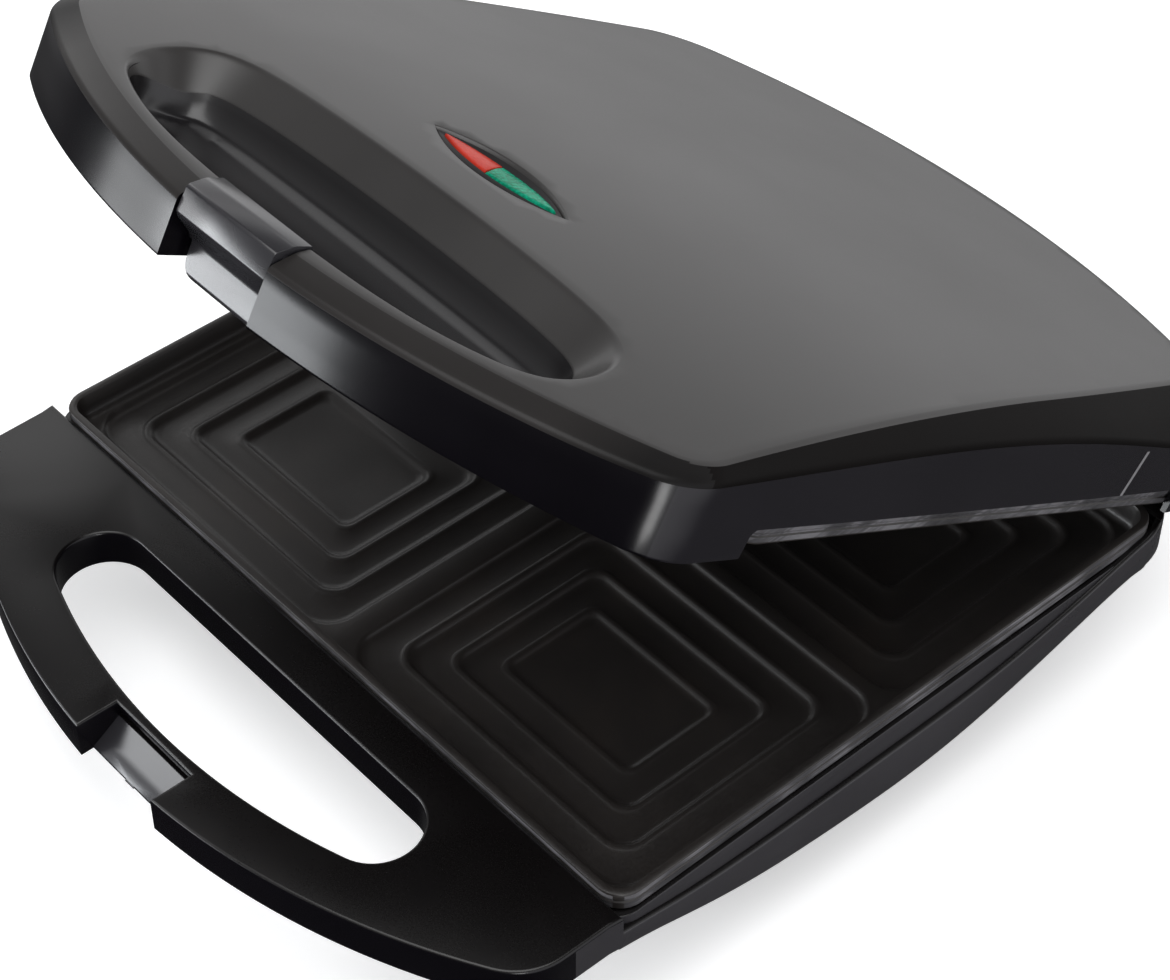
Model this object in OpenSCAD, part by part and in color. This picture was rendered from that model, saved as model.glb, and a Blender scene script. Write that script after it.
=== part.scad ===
// Four-slice sandwich toaster, lid held open as in use.
// Modelled closed around the parting plane, then the lid is turned about its hinge.
// +X is the right-hand side, +Y points to the back, +Z is up, feet on z = 0.

/* [Body] */
// Width of the casing
body_w = 266; // [264:0.5:268]
// Height of the parting plane above the worktop
deck_z = 54; // [52:0.5:56]
// Distance from the plates' front edge to the front of the handle bow
bow_reach = 71.2; // [68:0.2:74]
// Angle that the lid is open at rest, in degrees
open_angle = 29.84; // [0:0.01:60]
// Wall thickness of the mouldings
wall = 2.5; // [2:0.1:3]

/* [Plates] */
// Width of a toasting plate
plate_w = 260; // [258:0.5:261]
// Depth of a toasting plate, front to back
plate_d = 219; // [218:0.5:220]
// Corner radius of a plate
plate_r = 8; // [5:0.5:10]
// Height of the plate's outer skirt
skirt_h = 6; // [5:0.5:7]
// Gap between the two rims when the lid is shut
rim_gap = 0.4; // [0.3:0.1:1]

/* [Handle] */
// Height of the bow at the front
bow_h = 12.8; // [12:0.2:14]
// Half width of the latch recess in the bow
recess_hw = 17.6; // [16:0.2:18.4]
// Half width of the finger slot
slot_hw = 78; // [70:1:80]

/* [Hinge] */
// Hinge axis behind the plates' front edge
hinge_y = 222.6; // [222:0.1:223]
// Hinge axis below the parting plane
hinge_drop = 14.2; // [14:0.1:14.6]
// Distance of each hinge from the middle
hinge_x = 95; // [90:1:98]
// Radius of the hinge pins
hinge_pin_r = 2.5; // [2:0.1:3]
// Radial running clearance on the hinge pins
hinge_gap = 0.05; // [0.02:0.01:0.1]

/* [Latch] */
// Latch pivot behind the plates' front edge (negative is in front)
latch_y = -64.5; // [-65:0.1:-64]
// Latch pivot above the worktop with the lid shut
latch_z = 72.4; // [72:0.1:73]
// Radius of the latch pin
latch_pin_r = 1.5; // [1.2:0.1:1.7]

/* [Hidden] */
$fn = 48;
// the row's origin lies under the middle of the casing as it stands open
shift_y = -102.437;
hinge_z = deck_z - hinge_drop;
rim_z = deck_z + 2;
flip_z = 2*rim_z + rim_gap;
hw = body_w/2;
bow_z = deck_z - bow_h;
base_back = 232.5;
lid_z = deck_z + 0.5;
side_cut_z = rim_z + rim_gap + skirt_h;

// ---------- plan outlines ----------
function arc(cx, cy, r, a0, a1, n) = [for (i = [0:n]) [cx + r*cos(a0 + (a1 - a0)*i/n), cy + r*sin(a0 + (a1 - a0)*i/n)]];
// centre of the circle of radius rc that touches circle (c1, r1) and circle (c2, r2) from inside; sg picks the side
function tang(c1, r1, c2, r2, rc, sg) =
  let (d = norm(c2 - c1), a = r1 - rc, b = r2 - rc, e = (c2 - c1)/d,
       h = (a*a - b*b + d*d)/(2*d), k = sqrt(max(a*a - h*h, 0)))
  c1 + h*e + sg*k*[-e[1], e[0]];
function ang(v) = atan2(v[1], v[0]);
// half outline from the front middle round the right side to the back middle:
// front arc, corner, side arc, corner, back arc
function half_outline(yf, rf, xs, ys, rs, yb, rb, c1, c2, m) =
  let (F = [0, yf + rf], S = [xs - rs, ys], B = [0, yb - rb],
       K = tang(F, rf, S, rs, c1, 1), L = tang(B, rb, S, rs, c2, -1),
       K1 = K[0] > 0 ? K : tang(F, rf, S, rs, c1, -1), L1 = L[0] > 0 ? L : tang(B, rb, S, rs, c2, 1),
       Ka = (K1[1] < ys) ? K1 : tang(F, rf, S, rs, c1, -1), La = (L1[1] > ys) ? L1 : tang(B, rb, S, rs, c2, 1),
       a1 = ang(Ka - F), a2 = ang(Ka - S), a3 = ang(La - S), a4 = ang(La - B))
  concat(arc(F[0], F[1], rf, -90, a1, 8*m), arc(Ka[0], Ka[1], c1, a1, a2, 4*m),
         arc(S[0], S[1], rs, a2, a3, 6*m), arc(La[0], La[1], c2, a3, a4, 4*m), arc(B[0], B[1], rb, a4, 90, 6*m));
function clean(p) = [for (i = [0:len(p) - 1]) if (i == 0 || norm(p[i] - p[i - 1]) > 0.01) p[i]];
function whole(h) = let (n = len(h)) concat(h, [for (i = [n - 2:-1:1]) [-h[i][0], h[i][1]]]);
// outline of the base and lid at the parting plane, inset all round by d
function casing(d, yb, c2 = 18) = whole(clean(half_outline(-bow_reach + d, 240 - d, hw - d, 98, 9000, yb - d, 3000, 20 - d, c2 - d, 1)));
module casing2d(d, yb) polygon(casing(d, yb));
module rr(x0, x1, y0, y1, r) {
  translate([x0 + r, y0]) square([x1 - x0 - 2*r, y1 - y0]);
  translate([x0, y0 + r]) square([x1 - x0, y1 - y0 - 2*r]);
  for (x = [x0 + r, x1 - r], y = [y0 + r, y1 - r]) translate([x, y]) circle(r);
}
module slab(x0, x1, y0, y1, z0, z1) translate([x0, y0, z0]) cube([x1 - x0, y1 - y0, z1 - z0]);
module zcyl(x, y, z0, z1, r) translate([x, y, z0]) cylinder(h = z1 - z0, r = r);
module xcyl(x0, x1, y, z, r) translate([x0, y, z]) rotate([0, 90, 0]) cylinder(h = x1 - x0, r = r);
module ycyl(y0, y1, x, z, r) translate([x, y0, z]) rotate([-90, 0, 0]) cylinder(h = y1 - y0, r = r);
// prism along X with the profile [[y, z], ...]
module xprism(x0, x1, p) translate([x0, 0, 0]) rotate([90, 0, 90]) linear_extrude(x1 - x0) polygon(p);
module stand() translate([0, shift_y, 0]) children();
module opened() stand() translate([0, hinge_y, hinge_z]) rotate([-open_angle, 0, 0]) translate([0, -hinge_y, -hinge_z]) children();
module flip() translate([0, 0, flip_z]) mirror([0, 0, 1]) children();
// a straight eight-sided lead from a to b, a little long at both ends so that bends close
module rod(a, b, r) {
  v = b - a; l = norm(v); o = r*0.45;
  translate(a) rotate([0, acos(v[2]/l), atan2(v[1], v[0])]) rotate([0, 0, 7]) translate([0, 0, -o]) cylinder(h = l + 2*o, r = r, $fn = 8);
}
module wire(p, r) for (i = [0:len(p) - 2]) rod(p[i], p[i + 1], i % 2 == 0 ? r : r*0.9);
module screw(x, y, z, l, r, hr, up = 1) // head at z, thread towards +Z (up = 1) or -Z
  translate([x, y, z]) mirror([0, 0, up > 0 ? 0 : 1]) difference() {
    union() { translate([0, 0, -2]) cylinder(h = 2, r = hr); translate([0, 0, -0.01]) cylinder(h = l, r = r); }
    translate([-hr*0.7, -0.4, -2.5]) cube([hr*1.4, 0.8, 1.3]);
    translate([-0.4, -hr*0.7, -2.5]) cube([0.8, hr*1.4, 1.3]);
  }

// ---------- finger slot of the base: straight rim behind, bowed rim in front, round ends ----------
function slot_end(x0, yn, yf, rn) = // radius of the end that meets both rims and the side without a corner
  let (A = yn + rn - yf, B = A + rn - x0) sqrt(B*B - A*A - x0*x0 + rn*rn) - B;
function slot_pts(x0, yn, yf, rn) = // half width, near y, far y, radius of the near rim
  let (f = yn + rn, re = slot_end(x0, yn, yf, rn), ex = x0 - re, ey = yf - re, a0 = atan2(ey - f, ex))
  concat([for (i = [0:12]) let (a = -90 + (a0 + 90)*i/12) [rn*cos(a), f + rn*sin(a)]],
         [for (i = [1:12]) let (a = a0 + (90 - a0)*i/12) [ex + re*cos(a), ey + re*sin(a)]]);
module slot2d(x0, yn, yf, rn) { h = slot_pts(x0, yn, yf, rn); polygon(concat(h, [for (i = [len(h) - 1:-1:1]) [-h[i][0], h[i][1]]])); }

// ================= base =================
module ring(d0, d1, z0, z1, yb = base_back) translate([0, 0, z0]) linear_extrude(z1 - z0) difference() { casing2d(d0, yb); casing2d(d1, yb); }

module base_shell() color([0.13, 0.13, 0.14]) stand() difference() {
  union() {
    difference() {
      union() {
        // outer wall
        ring(0, wall, bow_z, deck_z);
        // belly of the side walls below the bow
        intersection() {
          ring(0, wall, 20, bow_z + 1);
          xcyl(-hw - 5, hw + 5, 105, 327.8, 305);
        }
        // back wall down behind the tub
        intersection() {
          ring(0, wall, 20, bow_z + 1);
          slab(-118, 118, 225, 240, 0, 80);
        }
        // deck in front of and behind the plates
        intersection() {
          translate([0, 0, deck_z - wall]) linear_extrude(wall) casing2d(1, base_back);
          union() { slab(-150, 150, -80, -0.6, 0, 80); slab(-150, 150, plate_d + 0.4, 240, 0, 80); }
        }
      }
      // latch recess and finger slot
      slab(-recess_hw, recess_hw, -90, -56.8, 30, 60);
      translate([0, 0, 30]) linear_extrude(40) slot2d(slot_hw, -53.8, -15.4, 214);
    }
    // inner wall under the edge of the plate
    translate([0, 0, 38]) linear_extrude(11.7) difference() { rr(-131.2, 131.2, -2.8, 221.4, 9); rr(-128.3, 128.3, -0.7, 219.5, 8.4); }
    slab(-128, 128, -2.8, -0.7, 40, 53);
    // wall of the finger slot
    translate([0, 0, bow_z]) linear_extrude(bow_h - 0.6) difference() { slot2d(slot_hw + 2.2, -56, -13.2, 216.2); slot2d(slot_hw, -53.8, -15.4, 214); }
    // side walls, lip and sloping floor of the latch recess
    for (s = [-1, 1]) slab(s*(recess_hw + 1.1) - 1.1, s*(recess_hw + 1.1) + 1.1, -69.6, -54.6, bow_z, deck_z - 1);
    xprism(-recess_hw - 1, recess_hw + 1, [[-53.9, deck_z - 1.2], [-54.9, deck_z - 1.2], [-54.9, 49.5], [-66.1, 42.2], [-66.1, bow_z], [-63.6, bow_z], [-53.9, 47.4]]);
    // ledge that the tub screws into, front and back
    for (x = [-60, 60]) { zcyl(x, -7.4, 44, deck_z - 1, 4.3); zcyl(x, 222.6, 38, deck_z - 1, 3.8); }
    // bosses for the handle cover
    for (x = [-100, 100]) zcyl(x, -38, 44, deck_z - 1, 4);
    for (x = [-40, 40]) zcyl(x, -62.5, 44, deck_z - 1, 3.2);
    // cheeks that carry the hinge pins
    for (s = [-1, 1]) for (x = [hinge_x - 13.5, hinge_x + 13.5])
      xprism(s*x - 3.2, s*x + 3.2, [[216.2, hinge_z - 7], [231, hinge_z - 7], [231, deck_z - 1], [221, deck_z - 1], [221, 44.5], [216.2, 44.5]]);
  }
  // the rail drops away beside the plate
  difference() { xcyl(-hw - 5, hw + 5, 97, 40.4 + 636, 636.0); slab(-131.2, 131.2, -5, 225, 30, 60); }
  translate([0, 0, 49.7]) linear_extrude(10) rr(-130.4, 130.4, -0.6, plate_d + 0.4, plate_r);
  // screw holes in the bosses
  for (x = [-60, 60]) { zcyl(x, -7.4, 43, 51, 1.4); zcyl(x, 222.6, 37, 48, 1.4); }
  for (x = [-100, 100]) zcyl(x, -38, 43, 51, 1.2);
  for (x = [-40, 40]) zcyl(x, -62.5, 43, 51, 1.2);
  // hinge notches and pin holes
  for (s = [-1, 1]) {
    slab(s*hinge_x - 10.2, s*hinge_x + 10.2, plate_d - 6, 240, 32.6, 60);
    xcyl(s*hinge_x - 17.6, s*hinge_x + 17.6, hinge_y, hinge_z, hinge_pin_r);
  }
  // lead hole
  ycyl(222, 240, 45, 27, 5);
  // rounded back edge that the lid turns past
  difference() {
    slab(-150, 150, hinge_y, 245, hinge_z, 60);
    xcyl(-151, 151, hinge_y, hinge_z, 13.7);
  }
  slab(-150, 150, plate_d - 4, 245, deck_z - 0.6, 60);
}

module base_handle_cover() color([0.13, 0.13, 0.14]) stand() difference() {
  intersection() {
    translate([0, 0, bow_z + 0.6]) linear_extrude(2) casing2d(wall + 0.3, base_back);
    slab(-119, 119, -80, -16, 0, 80);
  }
  translate([0, 0, 30]) linear_extrude(40) slot2d(slot_hw + 2.5, -56.6, -12.9, 216.5);
  slab(-recess_hw - 2.5, recess_hw + 2.5, -80, -50, 30, 60);
  for (x = [-100, 100]) zcyl(x, -38, 40, 50, 1.6);
  for (x = [-40, 40]) zcyl(x, -62.5, 40, 50, 1.6);
}

module tub_form(z0, z1, d) hull() {
  translate([0, 0, z1 - 0.4]) linear_extrude(0.4) rr(-127.8 + d, 127.8 - d, -10 + d, 227 - d, 22, $fn = 32);
  translate([0, 0, 24]) linear_extrude(0.4) rr(-119 + d, 119 - d, 4 + d, 226.6 - d, 22, $fn = 32);
  translate([0, 0, z0]) linear_extrude(0.4) rr(-104 + d, 104 - d, 22 + d, 224 - d, 24, $fn = 32);
}
module base_tub() color([0.10, 0.10, 0.11]) stand() difference() {
  union() {
    difference() {
      tub_form(5, 37.8, 0);
      tub_form(7.4, 38, 2.4);
    }
    // posts for the front pair of casing screws
    for (x = [-60, 60]) zcyl(x, -7.4, 35, 43.6, 4.3);
    intersection() {
      tub_form(5, 50, 0.5);
      union() {
        // posts under the plate
        for (p = [[0, 30], [0, 190], [-70, 109.5], [70, 109.5]]) zcyl(p[0], p[1], 5.5, 37.6, 4.5);
        // posts for the casing screws
        for (x = [-60, 60]) zcyl(x, 222.6, 14, 37.6, 4);
        // seat of the terminal block
        slab(28, 62, 176, 196, 5.5, 10);
        // ribs
        slab(-90, 90, 60, 62, 5.5, 11);
        slab(-90, 90, 150, 152, 5.5, 11);
      }
    }
    // collars round the feet
    for (x = [-84, 84], y = [44, 204]) zcyl(x, y, 4, 9, 11);
  }
  for (p = [[0, 30], [0, 190], [-70, 109.5], [70, 109.5]]) { zcyl(p[0], p[1], 0, 40, 1.8); zcyl(p[0], p[1], 0, 12, 3.6); }
  for (x = [-60, 60]) { zcyl(x, -7.4, 10, 50, 1.8); zcyl(x, -7.4, 10, 38, 3.4); zcyl(x, 222.6, 0, 50, 1.8); zcyl(x, 222.6, 0, 30, 3.4); }
  for (x = [-84, 84], y = [44, 204]) { zcyl(x, y, 3, 7.5, 8.2); zcyl(x, y, 3, 12, 2.2); }
  // lead hole in the back wall
  ycyl(215, 240, 45, 27, 5);
  // clearance for the hinge arms
  for (s = [-1, 1]) slab(s*hinge_x - 17.6, s*hinge_x + 17.6, 212, 240, 31.6, 50);
  // vents in the floor
  for (i = [-4:4]) slab(i*12 - 2, i*12 + 2, 80, 135, 4, 8.5);
}

module feet() color([0.07, 0.07, 0.07]) stand() for (x = [-84, 84], y = [44, 204]) difference() {
  union() {
    translate([x, y, 0]) cylinder(h = 3.9, r1 = 8.6, r2 = 9.4);
    zcyl(x, y, 3.8, 7.3, 8);
    zcyl(x, y, 7, 11.5, 2.1);
    translate([x, y, 9.6]) cylinder(h = 2.4, r1 = 3, r2 = 1.8);
  }
  translate([x, y, -1]) cylinder(h = 2, r = 5.5);
}

module base_screws() color([0.55, 0.55, 0.56]) stand() {
  for (x = [-60, 60]) { screw(x, -7.4, 38, 11, 1.35, 3); screw(x, 222.6, 30, 17, 1.35, 3); }
}
module handle_screws() color([0.45, 0.45, 0.46]) stand() {
  for (x = [-100, 100]) screw(x, -38, bow_z + 0.6, 7, 1.2, 2.4);
  for (x = [-40, 40]) screw(x, -62.5, bow_z + 0.6, 7, 1.2, 2.4);
}

// ---------- plates ----------
// four pockets, each stepping down to the middle in nested rounded squares
pockets = [[4, 124, 6, 107.5], [-124, -4, 6, 107.5], [4, 124, 111.5, 213], [-124, -4, 111.5, 213]];
steps = [[0, 46.2, 10], [11, 44.8, 9], [22, 43.6, 7], [33, 42.6, 5]]; // inset, floor height, corner radius
module plate(bosses) difference() {
  union() {
    translate([0, 0, rim_z - skirt_h]) linear_extrude(skirt_h) rr(-plate_w/2, plate_w/2, 0, plate_d, plate_r);
    translate([0, 0, rim_z - 11]) linear_extrude(11) rr(-plate_w/2 + 2.2, plate_w/2 - 2.2, 2.2, plate_d - 2.2, plate_r - 2);
    for (q = pockets, s = steps) translate([0, 0, s[1] - 2.4])
      linear_extrude(47 - s[1] + 2.4) rr(q[0] + s[0] - 2, q[1] - s[0] + 2, q[2] + s[0] - 2, q[3] - s[0] + 2, s[2] + 1);
    for (p = bosses) zcyl(p[0], p[1], p[2], 45, 4);
  }
  translate([0, 0, rim_z - 8.2]) linear_extrude(20) rr(-plate_w/2 + 4.4, plate_w/2 - 4.4, 4.4, plate_d - 4.4, plate_r - 3);
  for (q = pockets, s = steps) translate([0, 0, s[1]])
    linear_extrude(20) rr(q[0] + s[0], q[1] - s[0], q[2] + s[0], q[3] - s[0], s[2]);
  for (p = bosses) zcyl(p[0], p[1], p[2] - 1, 42.8, 1.3);
}
module lower_plate() color([0.10, 0.09, 0.09]) stand() plate([[0, 30, 38], [0, 190, 38], [-70, 109.5, 38], [70, 109.5, 38]]);
module lower_plate_screws() color([0.6, 0.6, 0.6]) stand()
  for (p = [[0, 30], [0, 190], [-70, 109.5], [70, 109.5]]) translate([0, 0, 0]) screw(p[0], p[1], 12, 30, 1.3, 3);

// ---------- heating element: one bent tube under the plate, ends at the back ----------
el_z = 36.8; el_r = 3.3; el_x = 60; el_y = 52; el_b = 20;
module elbow(x, y, a) translate([x, y, el_z]) rotate([0, 0, a]) rotate_extrude(angle = 90) translate([el_b, 0]) circle(el_r, $fn = 24);
module element() {
  for (s = [-1, 1]) {
    ycyl(el_y + el_b, 165, s*el_x, el_z, el_r);
    xcyl(min(s*16, s*(el_x - el_b)), max(s*16, s*(el_x - el_b)), 165 + el_b, el_z, el_r);
  }
  xcyl(-el_x + el_b, el_x - el_b, el_y, el_z, el_r);
  elbow(el_x - el_b, el_y + el_b, -90);
  elbow(-el_x + el_b, el_y + el_b, 180);
  elbow(el_x - el_b, 165, 0);
  elbow(-el_x + el_b, 165, 90);
}
module element_ends() for (s = [-1, 1]) {
  xcyl(min(s*10, s*16), max(s*10, s*16), 185, el_z, 4.2);
  xcyl(min(s*5, s*10), max(s*5, s*10), 185, el_z, 1.4);
}
module element_clips() for (p = [[-el_x, 88], [el_x, 88], [-el_x, 140], [el_x, 140]]) difference() {
  union() {
    ycyl(p[1] - 4, p[1] + 4, p[0], el_z, el_r + 1.2);
    slab(p[0] - 9, p[0] + 9, p[1] - 4, p[1] + 4, 38.8, 40.2);
  }
  ycyl(p[1] - 5, p[1] + 5, p[0], el_z, el_r);
  slab(p[0] - 12, p[0] + 12, p[1] - 5, p[1] + 5, 40.2, 44);
  slab(p[0] - el_r, p[0] + el_r, p[1] - 5, p[1] + 5, el_z, 44);
}
module reflector(holes) difference() {
  translate([0, 0, 28]) linear_extrude(5) rr(-105, 105, 34, 174, 12);
  translate([0, 0, 29]) linear_extrude(5) rr(-104, 104, 35, 173, 11);
  for (p = holes) zcyl(p[0], p[1], 20, 40, p[2]);
}
module lower_element() color([0.35, 0.33, 0.31]) stand() element();
module lower_element_ends() color([0.85, 0.84, 0.80]) stand() element_ends();
module lower_element_clips() color([0.7, 0.7, 0.7]) stand() element_clips();
module lower_reflector() color([0.75, 0.75, 0.75]) stand() difference() {
  reflector([[-70, 109.5, 6], [70, 109.5, 6], [0, 120, 11], [-30, 149, 4]]);
  zcyl(0, 30, 20, 40, 6.5);
}

module thermostat() color([0.8, 0.78, 0.7]) stand() {
  zcyl(0, 120, 30, 37.5, 9);
  slab(-14, 14, 116, 124, 37.5, 38.7);
  zcyl(0, 120, 38.6, 43.8, 5);
  for (s = [-1, 1]) slab(s*6 - 2, s*6 + 2, 119.6, 120.4, 22, 30.2);
}
module thermal_fuse() color([0.9, 0.9, 0.88]) stand() {
  ycyl(140, 158, -30, 35, 2.6);
  ycyl(136, 162, -30, 35, 0.8);
}
module terminal_block() color([0.88, 0.87, 0.82]) stand() difference() {
  slab(30, 60, 178, 194, 10.3, 22);
  for (i = [0:2]) {
    ycyl(170, 200, 35 + i*10, 15.4, 1.9);
    zcyl(35 + i*10, 182, 15, 30, 2);
    zcyl(35 + i*10, 190, 15, 30, 2);
  }
}
module terminal_screws() color([0.75, 0.65, 0.35]) stand() for (i = [0:2], y = [182, 190]) {
  zcyl(35 + i*10, y, 15.2, 19.6, 1.8);
}
module base_wiring() color([0.8, 0.8, 0.78]) stand() {
  wire([[35, 176, 15.4], [30, 160, 15.4], [10, 150, 17], [-6, 132, 17], [-6, 122, 18], [-6, 120, 21]], 1.2);
  wire([[6, 120, 21], [6, 122, 18], [14, 140, 15], [20, 172, 14], [14, 200, 16], [5, 203, 30], [4.8, 196, 36.8], [7.4, 191, 36.8]], 1.2);
  wire([[45, 196, 15.4], [45, 202, 20], [26, 208, 30], [-4, 203, 36], [-6.6, 191, 36.8]], 1.0);
  wire([[55, 196, 15.4], [52, 212, 20], [20, 214, 22], [-40, 214, 24], [-68, 216, 30], [-72, hinge_y, 34], [-75, hinge_y, hinge_z], [-91.6, hinge_y, hinge_z]], 1.2);
}
module cord_gland() color([0.06, 0.06, 0.06]) stand() difference() {
  union() {
    ycyl(221, 233, 45, 27, 5);
    ycyl(232.6, 235.4, 45, 27, 8);
    ycyl(221, 223.6, 45, 27, 6.4);
  }
  ycyl(215, 240, 45, 27, 3.6);
}
module hinge_pins() color([0.75, 0.75, 0.76]) stand() for (s = [-1, 1]) for (t = [-1, 1]) difference() {
  xcyl(s*hinge_x + (t < 0 ? -17.4 : 2), s*hinge_x + (t < 0 ? -2 : 17.4), hinge_y, hinge_z, hinge_pin_r);
  xcyl(s*hinge_x - 30, s*hinge_x + 30, hinge_y, hinge_z, 1.6);
}

// ================= lid =================
// height of the crowned top
function crown(y) = 98.5 - 23*exp(-(y + 64)/77);
function top_z(x, y) = crown(y) - 4.5*pow(x/128, 2);
// upper edge of the upright wall: low along the bow, arched along the sides
function arch(y) = 76.2 + 7.6*sin(max(0, min(180, (y + 34)/250*180)));
// outline rings of the lid's outer skin, from the bottom to the crown
function ring_bottom(d) = half_outline(-bow_reach + d, 240 - d, hw - d, 98, 9000, 240 - d, 900, 20 - d, 24 - d, 1);
function ring_edge(d) = half_outline(-bow_reach + 7.5 + d, 240 - 7.5 - d, 128 - d, -10, 2450, 250 - d, 260, 14, 26, 1);
function frac(y) = max(0, min(1, (y + 40)/40));
function back_mix(y) = max(0, min(1, (y - 215)/20));
function lid_rings(d) = let (
    a = whole(ring_bottom(d)), e = whole(ring_edge(d)), n = len(a),
    zt = [for (p = e) top_z(p[0], p[1]) - d],
    zw = [for (i = [0:n - 1]) let (y = a[i][1]) (1 - frac(y))*(zt[i] - 4) + frac(y)*((1 - back_mix(y))*arch(y) + back_mix(y)*84) - d*0.5])
  concat([for (i = [0:n - 1]) [a[i][0], a[i][1], d > 0 ? lid_z - 1 : lid_z]],
         [for (i = [0:n - 1]) [a[i][0] , a[i][1] + back_mix(a[i][1])*7*0.5, zw[i]]],
         [for (i = [0:n - 1]) [e[i][0], e[i][1], zt[i]]],
         [for (k = [0.8, 0.55, 0.28]) for (i = [0:n - 1]) let (x = e[i][0]*k, y = 95 + (e[i][1] - 95)*k) [x, y, top_z(x, y) - d]],
         [[0, 95, top_z(0, 95) - d], [0, 95, d > 0 ? lid_z - 1 : lid_z]]);
module lid_form(d) {
  p = lid_rings(d); n = (len(p) - 2)/6; c = len(p) - 2; b = len(p) - 1;
  polyhedron(points = p, faces = concat(
    [for (k = [0:4], i = [0:n - 1]) let (j = (i + 1)%n) [k*n + i, (k + 1)*n + i, k*n + j]],
    [for (k = [0:4], i = [0:n - 1]) let (j = (i + 1)%n) [(k + 1)*n + i, (k + 1)*n + j, k*n + j]],
    [for (i = [0:n - 1]) [5*n + i, c, 5*n + (i + 1)%n]],
    [for (i = [0:n - 1]) [i, (i + 1)%n, b]]), convexity = 6);
}
// finger recess of the lid: same bowed plan as the slot below it, closed at the bottom
module scoop2d(g) slot2d(88 + g, -59.3 - g, -4 + g, 235 + g);

module lid_shell() color([0.30, 0.29, 0.29]) opened() difference() {
  union() {
    difference() { lid_form(0); lid_form(wall); }
    // walls and floor of the finger recess
    intersection() {
      lid_form(0);
      difference() {
        translate([0, 0, 62]) linear_extrude(60) scoop2d(1.8);
        translate([0, 0, 64]) linear_extrude(60) scoop2d(0);
      }
    }
    // end walls beside the latch
    intersection() {
      lid_form(0);
      union() {
        for (s = [-1, 1]) slab(s*21.6 - 3, s*21.6 + 3, -80, -56, lid_z, 90);
        slab(-20, 20, -58.8, -56.4, 57.8, 70);
      }
    }
    // screw bosses
    intersection() {
      lid_form(0);
      union() {
        for (x = [-108, 108]) zcyl(x, -14, 58.8, 110, 4);
        for (x = [-122, 122], y = [45, 165]) zcyl(x, y, 74.4, 110, 4);
        for (x = [-60, 60]) zcyl(x, 229, 58.8, 110, 4);
      }
    }
  }
  // opening of the recess
  translate([0, 0, 64]) linear_extrude(60) scoop2d(0);
  // gap for the latch
  slab(-18.6, 18.6, -90, -58.8, 40, 110);
  slab(-18.6, 18.6, -90, -56, 70, 110);
  // the plate's skirt shows below the side walls
  slab(-150, -hw + wall + 1.2, -2.2, 206, 40, side_cut_z);
  slab(hw - wall - 1.2, 150, -2.2, 206, 40, side_cut_z);
  translate([0, 0, 50]) linear_extrude(18) rr(-130.5, 130.5, -0.5, plate_d + 0.5, plate_r);
  // seat of the indicator
  translate([0, 0, 70]) linear_extrude(40) leaf2d(26.6, 7.6);
  // holes
  for (s = [-1, 1]) xcyl(s*18 - (s < 0 ? 5.2 : 0), s*18 + (s < 0 ? 0 : 5.2), latch_y, latch_z, latch_pin_r);
  for (x = [-108, 108]) zcyl(x, -14, 50, 68, 1.4);
  for (x = [-122, 122], y = [45, 165]) zcyl(x, y, 70, 82, 1.4);
  for (x = [-60, 60]) zcyl(x, 229, 50, 72, 1.4);
  // clear of the hinge arms
  for (s = [-1, 1]) slab(s*hinge_x - 9, s*hinge_x + 9, 215, 237.2, 50, 57.4);
}
// pointed oval, tips along X
module leaf2d(a, b) intersection() { R = (a*a + b*b)/(2*b); translate([-2, 23 + b - R]) circle(R, $fn = 96); translate([-2, 23 - b + R]) circle(R, $fn = 96); }

module lid_frame() color([0.12, 0.12, 0.13]) opened() difference() {
  union() {
    intersection() {
      translate([0, 0, lid_z]) linear_extrude(2.4) polygon(whole(clean(ring_bottom(wall + 0.4))));
      union() { slab(-150, 150, -14, -0.8, 0, 90); slab(-150, -98, -80, -0.8, 0, 90); slab(98, 150, -80, -0.8, 0, 90); slab(-150, 150, plate_d + 0.8, 250, 0, 90); }
    }
    intersection() {
      translate([0, 0, 72]) linear_extrude(2) rr(-129, 129, -2.1, plate_d + 2.8, 10);
      slab(-150, 150, -20, 240, 0, 90);
    }
    slab(-124, 124, -2.1, -0.7, lid_z, 74);
    slab(-120, 120, plate_d + 0.8, plate_d + 2.8, lid_z, 74);
    for (x = [-108, 108]) zcyl(x, -14, lid_z, 58.6, 4.6);
    for (x = [-60, 60]) zcyl(x, 229, lid_z, 58.6, 4.6);
  }
  for (x = [-108, 108]) zcyl(x, -14, 50, 56.8, 3);
  for (x = [-60, 60]) zcyl(x, 229, 50, 56.8, 3);
  translate([0, 0, 60]) linear_extrude(30) rr(-108, 108, 22, 197, 12);
  for (x = [-116, 116], y = [14, 205]) zcyl(x, y, 60, 80, 1.6);
  for (x = [-108, 108]) zcyl(x, -14, 50, 60, 1.7);
  for (x = [-122, 122], y = [45, 165]) zcyl(x, y, 70, 80, 1.7);
  for (x = [-60, 60]) zcyl(x, 229, 50, 60, 1.7);
  for (s = [-1, 1]) { for (x = [-5.5, 5.5]) zcyl(s*hinge_x + x, 228.4, 50, 60, 1.3); slab(s*hinge_x - 7, s*hinge_x + 7, 218, 226, 50, 66); }
  slab(-19.2, 19.2, -80, -50, 50, 60);
}
module lid_handle_cover() color([0.12, 0.12, 0.13]) opened() difference() {
  intersection() {
    translate([0, 0, lid_z]) linear_extrude(2.2) polygon(whole(clean(ring_bottom(wall + 0.4))));
    slab(-97.4, 97.4, -80, -14.4, 0, 90);
  }
  slab(-25.4, 25.4, -80, -56, 50, 60);
  for (x = [-80, 80]) zcyl(x, -24, 50, 60, 1.5);
}
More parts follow.
